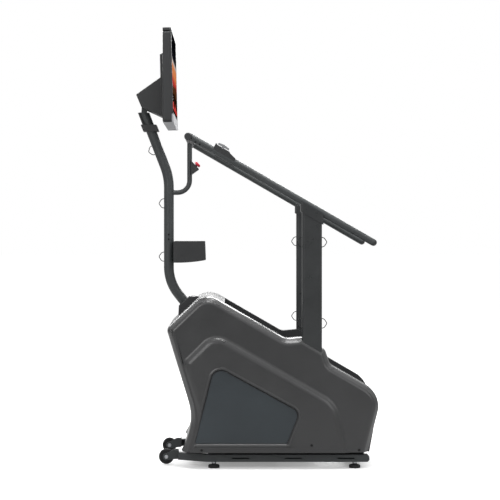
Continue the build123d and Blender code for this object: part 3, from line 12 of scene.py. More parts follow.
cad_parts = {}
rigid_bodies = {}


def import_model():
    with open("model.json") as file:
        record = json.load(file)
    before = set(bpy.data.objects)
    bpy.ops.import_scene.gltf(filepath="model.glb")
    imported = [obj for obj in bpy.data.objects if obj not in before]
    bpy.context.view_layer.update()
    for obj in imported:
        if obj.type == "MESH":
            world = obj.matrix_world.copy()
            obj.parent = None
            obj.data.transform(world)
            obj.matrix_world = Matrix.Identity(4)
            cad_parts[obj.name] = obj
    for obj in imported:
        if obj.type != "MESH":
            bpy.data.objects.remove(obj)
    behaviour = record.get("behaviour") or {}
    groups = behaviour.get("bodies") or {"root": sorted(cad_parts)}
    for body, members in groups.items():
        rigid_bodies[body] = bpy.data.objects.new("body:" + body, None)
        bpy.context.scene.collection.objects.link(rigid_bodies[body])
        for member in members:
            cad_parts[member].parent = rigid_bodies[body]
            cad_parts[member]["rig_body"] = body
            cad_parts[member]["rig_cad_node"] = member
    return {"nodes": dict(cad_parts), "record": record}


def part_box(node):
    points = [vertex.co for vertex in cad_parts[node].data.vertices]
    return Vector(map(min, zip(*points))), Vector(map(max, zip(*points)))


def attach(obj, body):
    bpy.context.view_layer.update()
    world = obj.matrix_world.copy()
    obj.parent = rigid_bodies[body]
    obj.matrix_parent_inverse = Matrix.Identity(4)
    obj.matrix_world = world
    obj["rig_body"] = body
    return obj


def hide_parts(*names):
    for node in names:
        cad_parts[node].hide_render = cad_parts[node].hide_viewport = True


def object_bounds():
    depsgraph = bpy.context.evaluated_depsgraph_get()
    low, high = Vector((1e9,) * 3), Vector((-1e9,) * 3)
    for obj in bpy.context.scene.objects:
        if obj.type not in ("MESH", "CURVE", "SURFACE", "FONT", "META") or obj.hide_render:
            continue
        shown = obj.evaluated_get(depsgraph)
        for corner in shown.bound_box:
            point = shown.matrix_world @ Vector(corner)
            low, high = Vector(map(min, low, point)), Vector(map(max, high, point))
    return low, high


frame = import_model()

cad_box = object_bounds()

bl_info = {
    "name": "Stair climber finish",
    "version": (1, 0, 0),
    "blender": (4, 5, 0),
    "location": "View3D > Sidebar > Climber",
    "description": "Finishes, small fittings, screen picture and studio for a stair climber",
    "category": "Object",
}

SLOT_OF = {part["node"]: part["material_slot"] for part in frame["record"]["subparts"]}
BODY_OF = {
    node: body for body, nodes in frame["record"]["behaviour"]["bodies"].items() for node in nodes
}
MM = 0.001
MERGE_GAP = 0.01 * MM  # vertices closer than this are one
FLAT_ANGLE = math.radians(0.5)  # faces that meet at less than this are one
LEVEL_SLACK = 0.2 * MM  # how far the ends of a rim may lie off its level
SLOPE_ANGLES = math.radians(12), math.radians(70)  # fold of a rim of the covers' slopes
RIVAL_SHARE = 0.45  # of the gap to another rim, for the width of a rounding
LIP_STEPS = 3  # facets in a quarter of a recess lip
GLASS_BAND = 12 * MM  # height of the strip that holds the glass's top or bottom corners
BAR_SHARE = 0.7  # of the chart's pitch, for the width of a bar
WORN_TONE = 2.6  # lightness of a rubbed edge against its paint
FLOOR_SIZE = 120  # metres, beyond the camera's view on every side
ZENITH = 0.8  # rise at which the surround reaches its full strength

COVERS = ("left_cover", "right_cover")
LAMPS = (
    # name, place, width and height, power setting and its share
    ("Overhead lamp", (0.2, -0.4, 4.2), (2.2, 2.2), "overhead", 1.0),
    ("Rim lamp", (-0.3, 3.6, 3.1), (5.0, 1.5), "rim", 1.0),
    ("Left lamp", (-2.4, -4.6, 2.6), (2.2, 2.2), "side", 1.0),
    ("Right lamp", (3.4, -3.6, 2.4), (2.2, 2.2), "side", 0.5),
)
MOULDED_NODES = (
    "front_cover", "side_panels", "entry_step", "neck_cover", "console_housing", "console_bezel",
    "console_chin", "bottle_tray", "mast_base_cover", "mast_collar", "left_post", "right_post",
    "post_saddles", "base_rails", "upper_steps", "return_steps", "turning_step", "tube_end_caps",
    "left_wheel", "right_wheel", "estop_button",
)
FINE_NODES = (
    "control_pods", "left_toggle", "right_toggle", "estop_housing", "wheel_brackets",
    "brake_unit", "screen_glass", "console_neck", "handlebar", "left_handrail", "right_handrail",
    "mast", "support_tube",
)
FINISHES = {}


def colour(name, description, default):
    """Colour setting of a property group."""
    return FloatVectorProperty(
        name=name, description=description, subtype="COLOR", size=3, min=0, max=1, default=default
    )


def length(name, description, default):
    """Size setting of a property group."""
    return FloatProperty(
        name=name, description=description, default=default, min=0, unit="LENGTH", precision=4
    )


def amount(name, description, default, **limits):
    """Plain number setting of a property group, not below nought."""
    return FloatProperty(name=name, description=description, default=default, min=0, **limits)


class ClimberColours(bpy.types.PropertyGroup):
    """Colours of the paints, plastics and metals."""

    frame_paint: colour("Frame paint", "Tubes and base rails", (0.038, 0.0425, 0.0437))
    post_paint: colour("Post paint", "The two side posts", (0.026, 0.028, 0.029))
    cover: colour("Covers", "Moulded side covers and hood", (0.0275, 0.028, 0.029))
    panel: colour("Side panels", "Recessed panels in the side covers", (0.0285, 0.0365, 0.0425))
    black: colour("Black plastic", "Small mouldings and the console", (0.021, 0.022, 0.0232))
    tread: colour("Treads", "Steps and entry step", (0.016, 0.0165, 0.018))
    dark_steel: colour("Dark steel", "Screws, loops and shafts", (0.009, 0.009, 0.0095))
    bright_steel: colour("Bright steel", "Chains, axles and nuts", (0.52, 0.53, 0.55))
    cast: colour("Cast metal", "Flywheel, pulley and bearings", (0.1, 0.1, 0.105))
    silver: colour("Silver plastic", "Lip under the screen", (0.33, 0.333, 0.345))
    # Painted reflection: this pale grey paints the white studio mirrored in the toggles' glossy
    # black tops, together with their pale icons
    pale: colour("Toggle tops with painted reflection", "Tops of the two toggles", (0.22, 0.225, 0.235))
    red: colour("Stop red", "Stop button", (0.42, 0.004, 0.024))
    glass: colour("Screen glass", "Glass of the console", (0.004, 0.004, 0.005))
    rubber: colour("Rubber", "Feet, wheels and belt", (0.012, 0.012, 0.0125))
    glow: colour("Screen glow", "Warm light of the screen picture", (1.0, 0.33, 0.12))
    signal: colour("Screen bars", "Bars of the screen picture", (0.75, 0.06, 0.05))


class ClimberDetails(bpy.types.PropertyGroup):
    """Sizes of edges and small fittings."""

    edge: length("Edge rounding", "Rounding of moulded and welded edges", 0.9 * MM)
    fine_edge: length("Fine edge rounding", "Rounding of small parts", 0.4 * MM)
    edge_steps: IntProperty(
        name="Edge steps", description="Facets in each rounding", default=2, min=1
    )
    bulge_height: length("Bulge height", "Of the covers' crown over their flat", 18 * MM)
    recess_depth: length("Recess depth", "Of the panel recess under the crown", 11 * MM)
    rim_depth: length("Rim depth", "Of the covers' outer bevel", 35 * MM)
    rim_round: length("Rim rounding", "Outer edges of the covers", 13 * MM)
    bulge_round: length("Bulge rounding", "Top edge of the covers' crown", 16 * MM)
    bulge_foot_round: length("Bulge foot rounding", "Foot of the covers' crown", 9 * MM)
    recess_round: length("Recess rounding", "Rim of the panel recess", 7 * MM)
    recess_foot_round: length("Recess foot rounding", "Floor edge of the recess", 3 * MM)
    rim_steps: IntProperty(name="Rim steps", description="Facets in each rim", default=5, min=1)
    smooth_angle: FloatProperty(
        name="Smooth angle",
        description="Faces that meet at less than this angle shade as one",
        default=math.radians(32),
        subtype="ANGLE",
    )
    socket_share: amount(
        "Socket share", "Width of a socket against its screw head", 0.52, max=0.9
    )
    bead_radius: length("Lip radius", "Of the lip round the panel recess", 9 * MM)
    bead_sink: length("Lip sink", "Of the lip's middle under the crown", 6.9 * MM)
    socket_depth: length("Socket depth", "Of the cover screws' sockets", 1.4 * MM)
    rib_pitch: length("Rib pitch", "Between the grip ribs of a step", 13 * MM)
    rib_width: length("Rib width", "Of a grip rib", 5 * MM)
    rib_height: length("Rib height", "Of a grip rib over the step", 0.7 * MM)
    rib_margin: length("Rib margin", "Plain border round the ribs", 16 * MM)
    picture_lift: length("Picture lift", "Gap between the glass and the picture", 0.25 * MM)
    picture_margin: length("Picture margin", "Dark border of the screen picture", 9 * MM)
    picture_strength: amount("Picture strength", "Light of the screen picture", 0.62)
    bar_count: IntProperty(name="Bars", description="Bars in the workout chart", default=18, min=4)
    chart_height: length("Chart height", "Tallest bar of the workout chart", 48 * MM)


class ClimberStudio(bpy.types.PropertyGroup):
    """Camera, lamps and floor."""

    camera_distance: length("Camera distance", "From the middle plane to the lens", 7.5)
    camera_x: FloatProperty(
        name="Camera place", description="Along the machine", default=-0.1205, unit="LENGTH"
    )
    camera_height: length("Camera height", "Above the floor", 1.155)
    lens: FloatProperty(
        name="Lens", description="Focal length", default=106.6, min=20, unit="CAMERA"
    )
    shift: FloatProperty(name="Lens shift", description="Sideways and downward shift", default=0.04)
    surround: amount("Surround", "Strength of the studio light overhead", 1.0)
    horizon: amount("Horizon", "Strength of the studio light from the sides", 0.4)
    overhead: amount("Overhead lamp", "Power of the overhead lamp", 125)
    rim: amount("Rim lamp", "Power of the lamp behind and above", 290)
    side: amount("Side lamps", "Power of the lamps at both sides", 42)
    floor_colour: colour("Floor", "Pale studio floor", (0.86, 0.86, 0.86))
    floor_bounce: amount("Floor bounce", "Share of light the floor sends back up", 0.5)
    floor_lift: amount("Floor lift", "White added to the floor for the camera", 0.28)


# ------------------------------------------------------------ finishes


def add_node(tree, kind, **settings):
    """New shader node with its settings."""
    made = tree.nodes.new(kind)
    for key, value in settings.items():
        setattr(made, key, value)
    return made


class Finish:
    """A material under construction: a principled shader and the nodes that feed it."""

    def __init__(self, name, base, roughness, metallic=0.0):
        self.material = bpy.data.materials.new(name)
        self.material.use_nodes = True
        self.tree = self.material.node_tree
        self.tree.nodes.clear()
        output = self.node("ShaderNodeOutputMaterial")
        self.surface = self.node("ShaderNodeBsdfPrincipled")
        self.tree.links.new(self.surface.outputs["BSDF"], output.inputs["Surface"])
        self.base = (*base, 1.0)
        self.surface.inputs["Base Color"].default_value = self.base
        self.surface.inputs["Roughness"].default_value = roughness
        self.surface.inputs["Metallic"].default_value = metallic
        self.place = self.node("ShaderNodeTexCoord").outputs["Object"]

    def node(self, kind, **settings):
        return add_node(self.tree, kind, **settings)

    def join(self, source, target):
        self.tree.links.new(source, target)

    def constant(self, **values):
        """Sets inputs of the shader that don't vary, named with underscores."""
        for key, value in values.items():
            self.surface.inputs[key.replace("_", " ").title()].default_value = value
        return self

    def unmirrored(self):
        """Takes away the studio's mirror image."""
        self.surface.inputs["Specular IOR Level"].default_value = 0.0
        return self

    def noise(self, scale, detail=2.0, stretch=(1, 1, 1)):
        """Noise in the piece's own coordinates."""
        mapping = self.node("ShaderNodeMapping")
        mapping.inputs["Scale"].default_value = stretch
        self.join(self.place, mapping.inputs["Vector"])
        texture = self.node("ShaderNodeTexNoise")
        texture.inputs["Scale"].default_value = scale
        texture.inputs["Detail"].default_value = detail
        self.join(mapping.outputs["Vector"], texture.inputs["Vector"])
        return texture.outputs["Fac"]

    def spread(self, value, low, high, start=0.3, end=0.7):
        """Maps a value that runs from start to end, as noise does, to low and high."""
        remap = self.node("ShaderNodeMapRange")
        ends = {"From Min": start, "From Max": end, "To Min": low, "To Max": high}
        for key, number in ends.items():
            remap.inputs[key].default_value = number
        self.join(value, remap.inputs["Value"])
        return remap.outputs["Result"]

    def mixed(self, factor, first, second):
        """Blend of two colours or colour sockets."""
        mix = self.node("ShaderNodeMix", data_type="RGBA")
        self.join(factor, mix.inputs["Factor"])
        for socket, value in ((mix.inputs["A"], first), (mix.inputs["B"], second)):
            if isinstance(value, bpy.types.NodeSocket):
                self.join(value, socket)
            else:
                socket.default_value = value
        return mix.outputs["Result"]

    def shade(self, share):
        """The base colour, lighter or darker by a share."""
        return (*(channel * share for channel in self.base[:3]), 1.0)

    def clouds(self, scale, share):
        """Slow change of tone over the surface."""
        factor = self.spread(self.noise(scale, detail=3.0), low=0.0, high=1.0)
        self.tone = self.mixed(factor, self.shade(1 - share), self.shade(1 + share))
        self.join(self.tone, self.surface.inputs["Base Color"])
        return self

    def worn(self, share, reach=1.6 * MM):
        """Lighter tone along edges that hands and tools rub."""
        rounded = self.node("ShaderNodeBevel", samples=4)
        rounded.inputs["Radius"].default_value = reach
        flat = self.node("ShaderNodeNewGeometry").outputs["Normal"]
        match = self.node("ShaderNodeVectorMath", operation="DOT_PRODUCT")
        self.join(rounded.outputs["Normal"], match.inputs[0])
        self.join(flat, match.inputs[1])
        edge = self.spread(match.outputs["Value"], low=share, high=0.0, start=0.86, end=0.99)
        tone = self.mixed(edge, self.tone, self.shade(WORN_TONE))
        self.join(tone, self.surface.inputs["Base Color"])
        return self

    def sheen_change(self, scale, low, high):
        """Roughness that varies between low and high, as handled surfaces do."""
        value = self.spread(self.noise(scale, detail=4.0), low, high)
        self.join(value, self.surface.inputs["Roughness"])
        return self

    def relief(self, scale, height, strength, stretch=(1, 1, 1), detail=2.0):
        """Grain of the given height."""
        bump = self.node("ShaderNodeBump")
        bump.inputs["Strength"].default_value = strength
        bump.inputs["Distance"].default_value = height
        self.join(self.noise(scale, detail, stretch), bump.inputs["Height"])
        self.join(bump.outputs["Normal"], self.surface.inputs["Normal"])
        return self


def powder_coat(name, base, roughness=0.42):
    finish = Finish(name, base, roughness).clouds(scale=7, share=0.1).worn(share=0.5)
    finish.sheen_change(scale=16, low=roughness - 0.06, high=roughness + 0.07)
    return finish.relief(scale=420, height=0.12 * MM, strength=0.35).material


def moulding(name, base, roughness, grain=900, relief=0.35, coat=0.0):
    finish = Finish(name, base, roughness).clouds(scale=4.5, share=0.09).worn(share=0.25)
    finish.constant(coat_weight=coat, coat_roughness=0.14)
    finish.sheen_change(scale=9, low=roughness - 0.05, high=roughness + 0.08)
    return finish.relief(scale=grain, height=0.1 * MM, strength=relief, detail=3.0).material


def machined(name, base, roughness, stretch):
    finish = Finish(name, base, roughness, metallic=1.0).clouds(scale=40, share=0.12)
    finish.sheen_change(scale=60, low=roughness - 0.08, high=roughness + 0.12)
    return finish.relief(scale=60, height=0.05 * MM, strength=0.3, stretch=stretch).material


def cast_iron(name, base):
    finish = Finish(name, base, roughness=0.55, metallic=0.6)
    finish.clouds(scale=25, share=0.2).worn(share=0.5)
    return finish.relief(scale=260, height=0.25 * MM, strength=0.5, detail=5.0).material


def rubber(name, base):
    finish = Finish(name, base, roughness=0.72).clouds(scale=30, share=0.22)
    finish.sheen_change(scale=45, low=0.62, high=0.82)
    return finish.relief(scale=700, height=0.12 * MM, strength=0.45).material


def gloss(name, base, roughness, coat):
    finish = Finish(name, base, roughness).clouds(scale=20, share=0.05)
    finish.constant(coat_weight=coat, coat_roughness=0.08)
    return finish.relief(scale=180, height=0.03 * MM, strength=0.2).material


def display_glass(name, base):
    """Dark display glass whose coating takes away the studio's mirror image."""
    finish = Finish(name, base, roughness=0.4).clouds(scale=10, share=0.05).unmirrored()
    return finish.sheen_change(scale=14, low=0.36, high=0.44).material


def evening(name, glow, signal, strength):
    """Lit picture of hills at dusk: dark ridges, warm sky, near black above."""
    finish = Finish(name, (0, 0, 0), roughness=0.5).unmirrored()
    finish.place = finish.node("ShaderNodeTexCoord").outputs["UV"]
    split = finish.node("ShaderNodeSeparateXYZ")
    finish.join(finish.place, split.inputs["Vector"])
    sky = finish.node("ShaderNodeValToRGB")
    finish.join(split.outputs["Y"], sky.inputs["Fac"])
    night, cloud = (0.01, 0.01, 0.016), (0.8, 0.72, 0.66)
    ramp = sky.color_ramp.elements
    ramp[0].position, ramp[0].color = 0.28, (*(channel * 0.3 for channel in signal), 1)
    ramp[1].position, ramp[1].color = 0.88, (*(channel * 0.2 for channel in night), 1)
    for place, tone in ((0.4, signal), (0.5, glow), (0.6, glow), (0.66, cloud), (0.7, night)):
        ramp.new(place).color = (*tone, 1)
    picture = sky.outputs["Color"]
    far_ridge, near_ridge = (2.2, 0.3, 0.2, 0.12), (3.6, 0.22, 0.13, 0.02)
    for scale, rise, height, brightness in (far_ridge, near_ridge):
        ridge = finish.node("ShaderNodeMath", operation="MULTIPLY_ADD")
        finish.join(finish.noise(scale, detail=3.0, stretch=(1, 0, 0)), ridge.inputs[0])
        ridge.inputs[1].default_value = rise
        ridge.inputs[2].default_value = height
        below = finish.node("ShaderNodeMath", operation="LESS_THAN")
        finish.join(split.outputs["Y"], below.inputs[0])
        finish.join(ridge.outputs[0], below.inputs[1])
        hill = (*(channel * brightness for channel in glow), 1)
        picture = finish.mixed(below.outputs[0], picture, hill)
    finish.join(picture, finish.surface.inputs["Emission Color"])
    return finish.constant(emission_strength=strength).material


def lit(name, tone):
    """Plain lit area of the screen."""
    finish = Finish(name, (0, 0, 0), roughness=0.5).unmirrored()
    finish.surface.inputs["Emission Color"].default_value = (*tone, 1)
    return finish.constant(emission_strength=1.0).material


def make_finishes(colours, picture_strength):
    """One material for each slot of the record, and two for the lit screen."""
    turned = (8, 0.05, 8)
    return {
        "plate_black": powder_coat("Matt black paint", colours.black),
        "frame_paint": powder_coat("Charcoal powder coat", colours.frame_paint, roughness=0.45),
        "post_paint": powder_coat("Grey powder coat", colours.post_paint, roughness=0.32),
        "cover_plastic": moulding(
            "Cover moulding", colours.cover, roughness=0.34, relief=0.12, coat=0.4
        ),
        "panel_plastic": moulding(
            "Panel moulding", colours.panel, roughness=0.34, grain=1100, relief=0.2
        ),
        "black_plastic": moulding("Black moulding", colours.black, roughness=0.44),
        "tread_plastic": moulding(
            "Ribbed tread", colours.tread, roughness=0.6, grain=650, relief=0.6
        ),
        "dark_steel": cast_iron("Blackened steel", colours.dark_steel),
        "bright_steel": machined(
            "Machined steel", colours.bright_steel, roughness=0.3, stretch=turned
        ),
        "cast_metal": cast_iron("Cast metal", colours.cast),
        "silver_plastic": gloss("Silver plastic", colours.silver, roughness=0.5, coat=0.0),
        # Toggle tops: pale grey that paints the reflection of the white studio on glossy black, and
        # the pale icons
        "pale_plastic": gloss("Toggle tops with painted reflection", colours.pale, roughness=0.36, coat=0.2),
        "button_red": gloss("Stop red", colours.red, roughness=0.38, coat=0.1),
        "screen": display_glass("Screen glass", colours.glass),
        "rubber": rubber("Rubber", colours.rubber),
        "picture": evening("Evening picture", colours.glow, colours.signal, picture_strength),
        "bars": lit("Screen bars", colours.signal),
    }


def paint(piece, slot):
    """Gives a piece the finish of one of the record's slots."""
    piece.data.materials.clear()
    piece.data.materials.append(FINISHES[slot])
    for face in piece.data.polygons:
        face.material_index = 0


# ------------------------------------------------------------ modelling helpers


def select_only(*pieces):
    """Selects some pieces and nothing else, the first of them active."""
    bpy.ops.object.select_all(action="DESELECT")
    for piece in pieces:
        piece.select_set(True)
    bpy.context.view_layer.objects.active = pieces[0]


def added(add, **settings):
    """Object that an add operator makes with nothing else selected."""
    bpy.ops.object.select_all(action="DESELECT")
    add(**settings)
    return bpy.context.view_layer.objects.active


def modify(piece, name, kind, **settings):
    """Puts a modifier on a piece and applies it."""
    select_only(piece)
    modifier = piece.modifiers.new(name, kind)
    for key, value in settings.items():
        setattr(modifier, key, value)
    bpy.ops.object.modifier_apply(modifier=modifier.name)


def copy_of(node):
    """Merged copy of a CAD node, free of its body, with its own mesh."""
    select_only(frame["nodes"][node])
    bpy.ops.object.duplicate()
    piece = bpy.context.view_layer.objects.active
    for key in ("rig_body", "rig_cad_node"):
        del piece[key]
    bpy.ops.object.parent_clear(type="CLEAR_KEEP_TRANSFORM")
    bpy.ops.object.mode_set(mode="EDIT")
    bpy.ops.mesh.select_all(action="SELECT")
    bpy.ops.mesh.remove_doubles(threshold=MERGE_GAP)
    bpy.ops.mesh.customdata_custom_splitnormals_clear()
    bpy.ops.mesh.select_all(action="SELECT")
    bpy.ops.mesh.dissolve_limited(angle_limit=FLAT_ANGLE)
    bpy.ops.object.mode_set(mode="OBJECT")
    return piece


def soften(piece, width, steps, angle):
    """Rounds the sharp edges of a piece and shades the rest smooth."""
    modify(
        piece,
        "Edges",
        "BEVEL",
        width=width,
        segments=steps,
        limit_method="ANGLE",
        angle_limit=angle,
        use_clamp_overlap=True,
    )
    bpy.ops.object.shade_smooth_by_angle(angle=angle)
    modify(piece, "Level", "WEIGHTED_NORMAL", keep_sharp=True)


def islands(node):
    """Lowest and highest corners of each separate solid of a CAD node."""
    mesh = bmesh.new()
    mesh.from_mesh(frame["nodes"][node].data)
    bmesh.ops.remove_doubles(mesh, verts=mesh.verts, dist=MERGE_GAP)
    left, boxes = set(mesh.verts), []
    while left:
        group, edge = set(), [left.pop()]
        while edge:
            vertex = edge.pop()
            group.add(vertex)
            found = {e.other_vert(vertex) for e in vertex.link_edges} & left
            left -= found
            edge.extend(found)
        corners = [vertex.co for vertex in group]
        low = Vector(min(c[k] for c in corners) for k in range(3))
        high = Vector(max(c[k] for c in corners) for k in range(3))
        boxes.append((low, high))
    mesh.free()
    return sorted(boxes, key=lambda box: tuple(round(value, 4) for value in box[0]))


def settle(piece, name, body, slot):
    """Names a finished piece, puts its place in its mesh and lets it ride on a body."""
    select_only(piece)
    bpy.ops.object.transform_apply(location=True, rotation=True, scale=True)
    piece.name = name
    piece.data.name = name
    paint(piece, slot)
    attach(piece, body)
    return piece


def gap_to(edge, others):
    """Smallest distance between an edge and a set of other edges."""
    smallest = math.inf
    for other in others:
        for points, line in ((edge.verts, other.verts), (other.verts, edge.verts)):
            for point in points:
                share = intersect_point_line(point.co, line[0].co, line[1].co)[1]
                foot = line[0].co.lerp(line[1].co, min(max(share, 0.0), 1.0))
                smallest = min(smallest, (point.co - foot).length)
    return smallest


def cover_levels(node, details):
    """Distances outward of a cover's crown, recess floor, flat and side."""
    low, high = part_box(node)
    crown = max(abs(low.y), abs(high.y))
    face = crown - details.bulge_height
    return {
        "crown": crown,
        "floor": crown - details.recess_depth,
        "face": face,
        "side": face - details.rim_depth,
    }


def rim_kind(edge, levels):
    """Which rim of a cover's slopes an edge lies on, or None."""
    if not SLOPE_ANGLES[0] < edge.calc_face_angle(0) < SLOPE_ANGLES[1]:
        return None
    for name, level in levels.items():
        if all(abs(abs(end.co.y) - level) < LEVEL_SLACK for end in edge.verts):
            break
    else:
        return None
    if name == "crown":
        low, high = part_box("side_panels")
        away = (edge.verts[0].co + edge.verts[1].co - low - high) / 2
        slope = min(edge.link_faces, key=lambda face: abs(face.normal.y)).normal
        return "bulge" if slope.x * away.x + slope.z * away.z > 0 else "recess"
    if name == "face":
        return "rim" if edge.is_convex else "bulge foot"
    return {"floor": "recess foot", "side": "rim"}[name]


def round_rims(piece, levels, widths, steps):
    """Rounds the rims of a cover's slopes, each kind of rim to its own width."""
    widest = max(widths.values())
    mesh = bmesh.new()
    mesh.from_mesh(piece.data)
    weight = mesh.edges.layers.float.new("bevel_weight_edge")
    kinds = {edge: rim_kind(edge, levels) for edge in mesh.edges}
    rims = {edge: kind for edge, kind in kinds.items() if kind}
    for edge, kind in rims.items():
        level = abs(edge.verts[0].co.y)
        rivals = [
            other for other, its in rims.items()
            if its != kind and abs(abs(other.verts[0].co.y) - level) < LEVEL_SLACK
        ]
        edge[weight] = min(widths[kind], RIVAL_SHARE * gap_to(edge, rivals)) / widest
    mesh.to_mesh(piece.data)
    mesh.free()
    modify(
        piece,
        "Rims",
        "BEVEL",
        width=widest,
        segments=steps,
        limit_method="WEIGHT",
        use_clamp_overlap=False,
        loop_slide=False,
    )


def stand_in(piece, node, width):
    """Rounds the edges of a copy of a CAD node and lets it stand in for the node."""
    details = bpy.context.scene.climber_details
    soften(piece, width, details.edge_steps, details.smooth_angle)
    settle(piece, f"{node}_rounded", BODY_OF[node], SLOT_OF[node])
    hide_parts(node)


# ------------------------------------------------------------ operators


class CLIMBER_OT_finishes(bpy.types.Operator):
    """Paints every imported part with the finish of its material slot"""

    bl_idname = "climber.finishes"
    bl_label = "Finishes"

    def execute(self, context):
        strength = context.scene.climber_details.picture_strength
        FINISHES.update(make_finishes(context.scene.climber_colours, strength))
        for node, piece in frame["nodes"].items():
            paint(piece, SLOT_OF[node])
        return {"FINISHED"}


class CLIMBER_OT_edges(bpy.types.Operator):
    """Rounds the edges of mouldings, posts and fittings"""

    bl_idname = "climber.edges"
    bl_label = "Rounded edges"

    def execute(self, context):
        details = context.scene.climber_details
        for node in MOULDED_NODES:
            stand_in(copy_of(node), node, details.edge)
        for node in FINE_NODES:
            stand_in(copy_of(node), node, details.fine_edge)
        return {"FINISHED"}


class CLIMBER_OT_covers(bpy.types.Operator):
    """Gives the side covers their soft rims, bulge and panel recess"""

    bl_idname = "climber.covers"
    bl_label = "Side covers"

    def execute(self, context):
        details = context.scene.climber_details
        widths = {
            "bulge": details.bulge_round,
            "bulge foot": details.bulge_foot_round,
            "recess": details.recess_round,
            "recess foot": details.recess_foot_round,
            "rim": details.rim_round,
        }
        for node in COVERS:
            piece = copy_of(node)
            round_rims(piece, cover_levels(node, details), widths, details.rim_steps)
            stand_in(piece, node, details.edge)
        return {"FINISHED"}


class CLIMBER_OT_beads(bpy.types.Operator):
    """Runs a raised lip round the panel recess of each side cover"""

    bl_idname = "climber.beads"
    bl_label = "Recess lips"

    def execute(self, context):
        details = context.scene.climber_details
        for node in COVERS:
            low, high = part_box(node)
            piece = self.recess_rim(node, cover_levels(node, details))
            select_only(piece)
            bpy.ops.object.convert(target="CURVE")
            rim = context.view_layer.objects.active
            rim.location.y = math.copysign(details.bead_sink, -low.y - high.y)
            rim.data.bevel_depth = details.bead_radius
            rim.data.bevel_resolution = LIP_STEPS
            bpy.ops.object.convert(target="MESH")
            bead = context.view_layer.objects.active
            bpy.ops.object.shade_smooth_by_angle(angle=details.smooth_angle)
            settle(bead, f"{node}_lip", BODY_OF[node], SLOT_OF[node])
        return {"FINISHED"}

    def recess_rim(self, node, levels):
        """Bare line of edges where the cover's crown turns down into the recess."""
        piece = copy_of(node)
        mesh = bmesh.new()
        mesh.from_mesh(piece.data)
        spare = [edge for edge in mesh.edges if rim_kind(edge, levels) != "recess"]
        bmesh.ops.delete(mesh, geom=spare, context="EDGES")
        loose = [vertex for vertex in mesh.verts if not vertex.link_edges]
        bmesh.ops.delete(mesh, geom=loose, context="VERTS")
        mesh.to_mesh(piece.data)
        mesh.free()
        return piece


class CLIMBER_OT_sockets(bpy.types.Operator):
    """Cuts a hexagon socket into the head of each cover screw"""

    bl_idname = "climber.sockets"
    bl_label = "Screw sockets"

    def execute(self, context):
        details = context.scene.climber_details
        piece = copy_of("cover_screws")
        soften(piece, details.fine_edge, details.edge_steps, details.smooth_angle)
        cutters = []
        for low, high in islands("cover_screws"):
            middle = (low + high) / 2
            width = (high.x - low.x) * details.socket_share
            face = high.y if middle.y > 0 else low.y
            cutters.append(
                added(
                    bpy.ops.mesh.primitive_cylinder_add,
                    vertices=6,
                    radius=width / 2,
                    depth=2 * details.socket_depth,
                    location=(middle.x, face, middle.z),
                    rotation=(math.pi / 2, 0, 0),
                )
            )
        select_only(*cutters)
        bpy.ops.object.join()
        cutter = context.view_layer.objects.active
        modify(piece, "Sockets", "BOOLEAN", operation="DIFFERENCE", object=cutter)
        select_only(cutter)
        bpy.ops.object.delete()
        settle(piece, "cover_screws_socketed", BODY_OF["cover_screws"], SLOT_OF["cover_screws"])
        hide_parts("cover_screws")
        return {"FINISHED"}


class CLIMBER_OT_treads(bpy.types.Operator):
    """Lays grip ribs along the top of every step"""

    bl_idname = "climber.treads"
    bl_label = "Grip ribs"

    def execute(self, context):
        for node in ("upper_steps", "return_steps"):
            for index, (low, high) in enumerate(islands(node)):
                self.add_ribs(context.scene.climber_details, node, index, low, high)
        return {"FINISHED"}

    def add_ribs(self, details, node, index, low, high):
        """Row of ribs on one step, given its lowest and highest corners."""
        span = high.y - low.y - 2 * details.rib_margin
        depth = high.x - low.x - 2 * details.rib_margin
        rib = added(bpy.ops.mesh.primitive_cube_add, size=1)
        rib.scale = (details.rib_width, span, 2 * details.rib_height)
        rib.location = (low.x + details.rib_margin + details.rib_pitch / 2, 0, high.z)
        bpy.ops.object.transform_apply(location=True, rotation=True, scale=True)
        modify(
            rib,
            "Row",
            "ARRAY",
            count=int(depth / details.rib_pitch),
            use_relative_offset=False,
            use_constant_offset=True,
            constant_offset_displace=(details.rib_pitch, 0, 0),
        )
        soften(rib, details.rib_height / 2, details.edge_steps, details.smooth_angle)
        settle(rib, f"{node}_ribs_{index + 1}", BODY_OF[node], SLOT_OF[node])


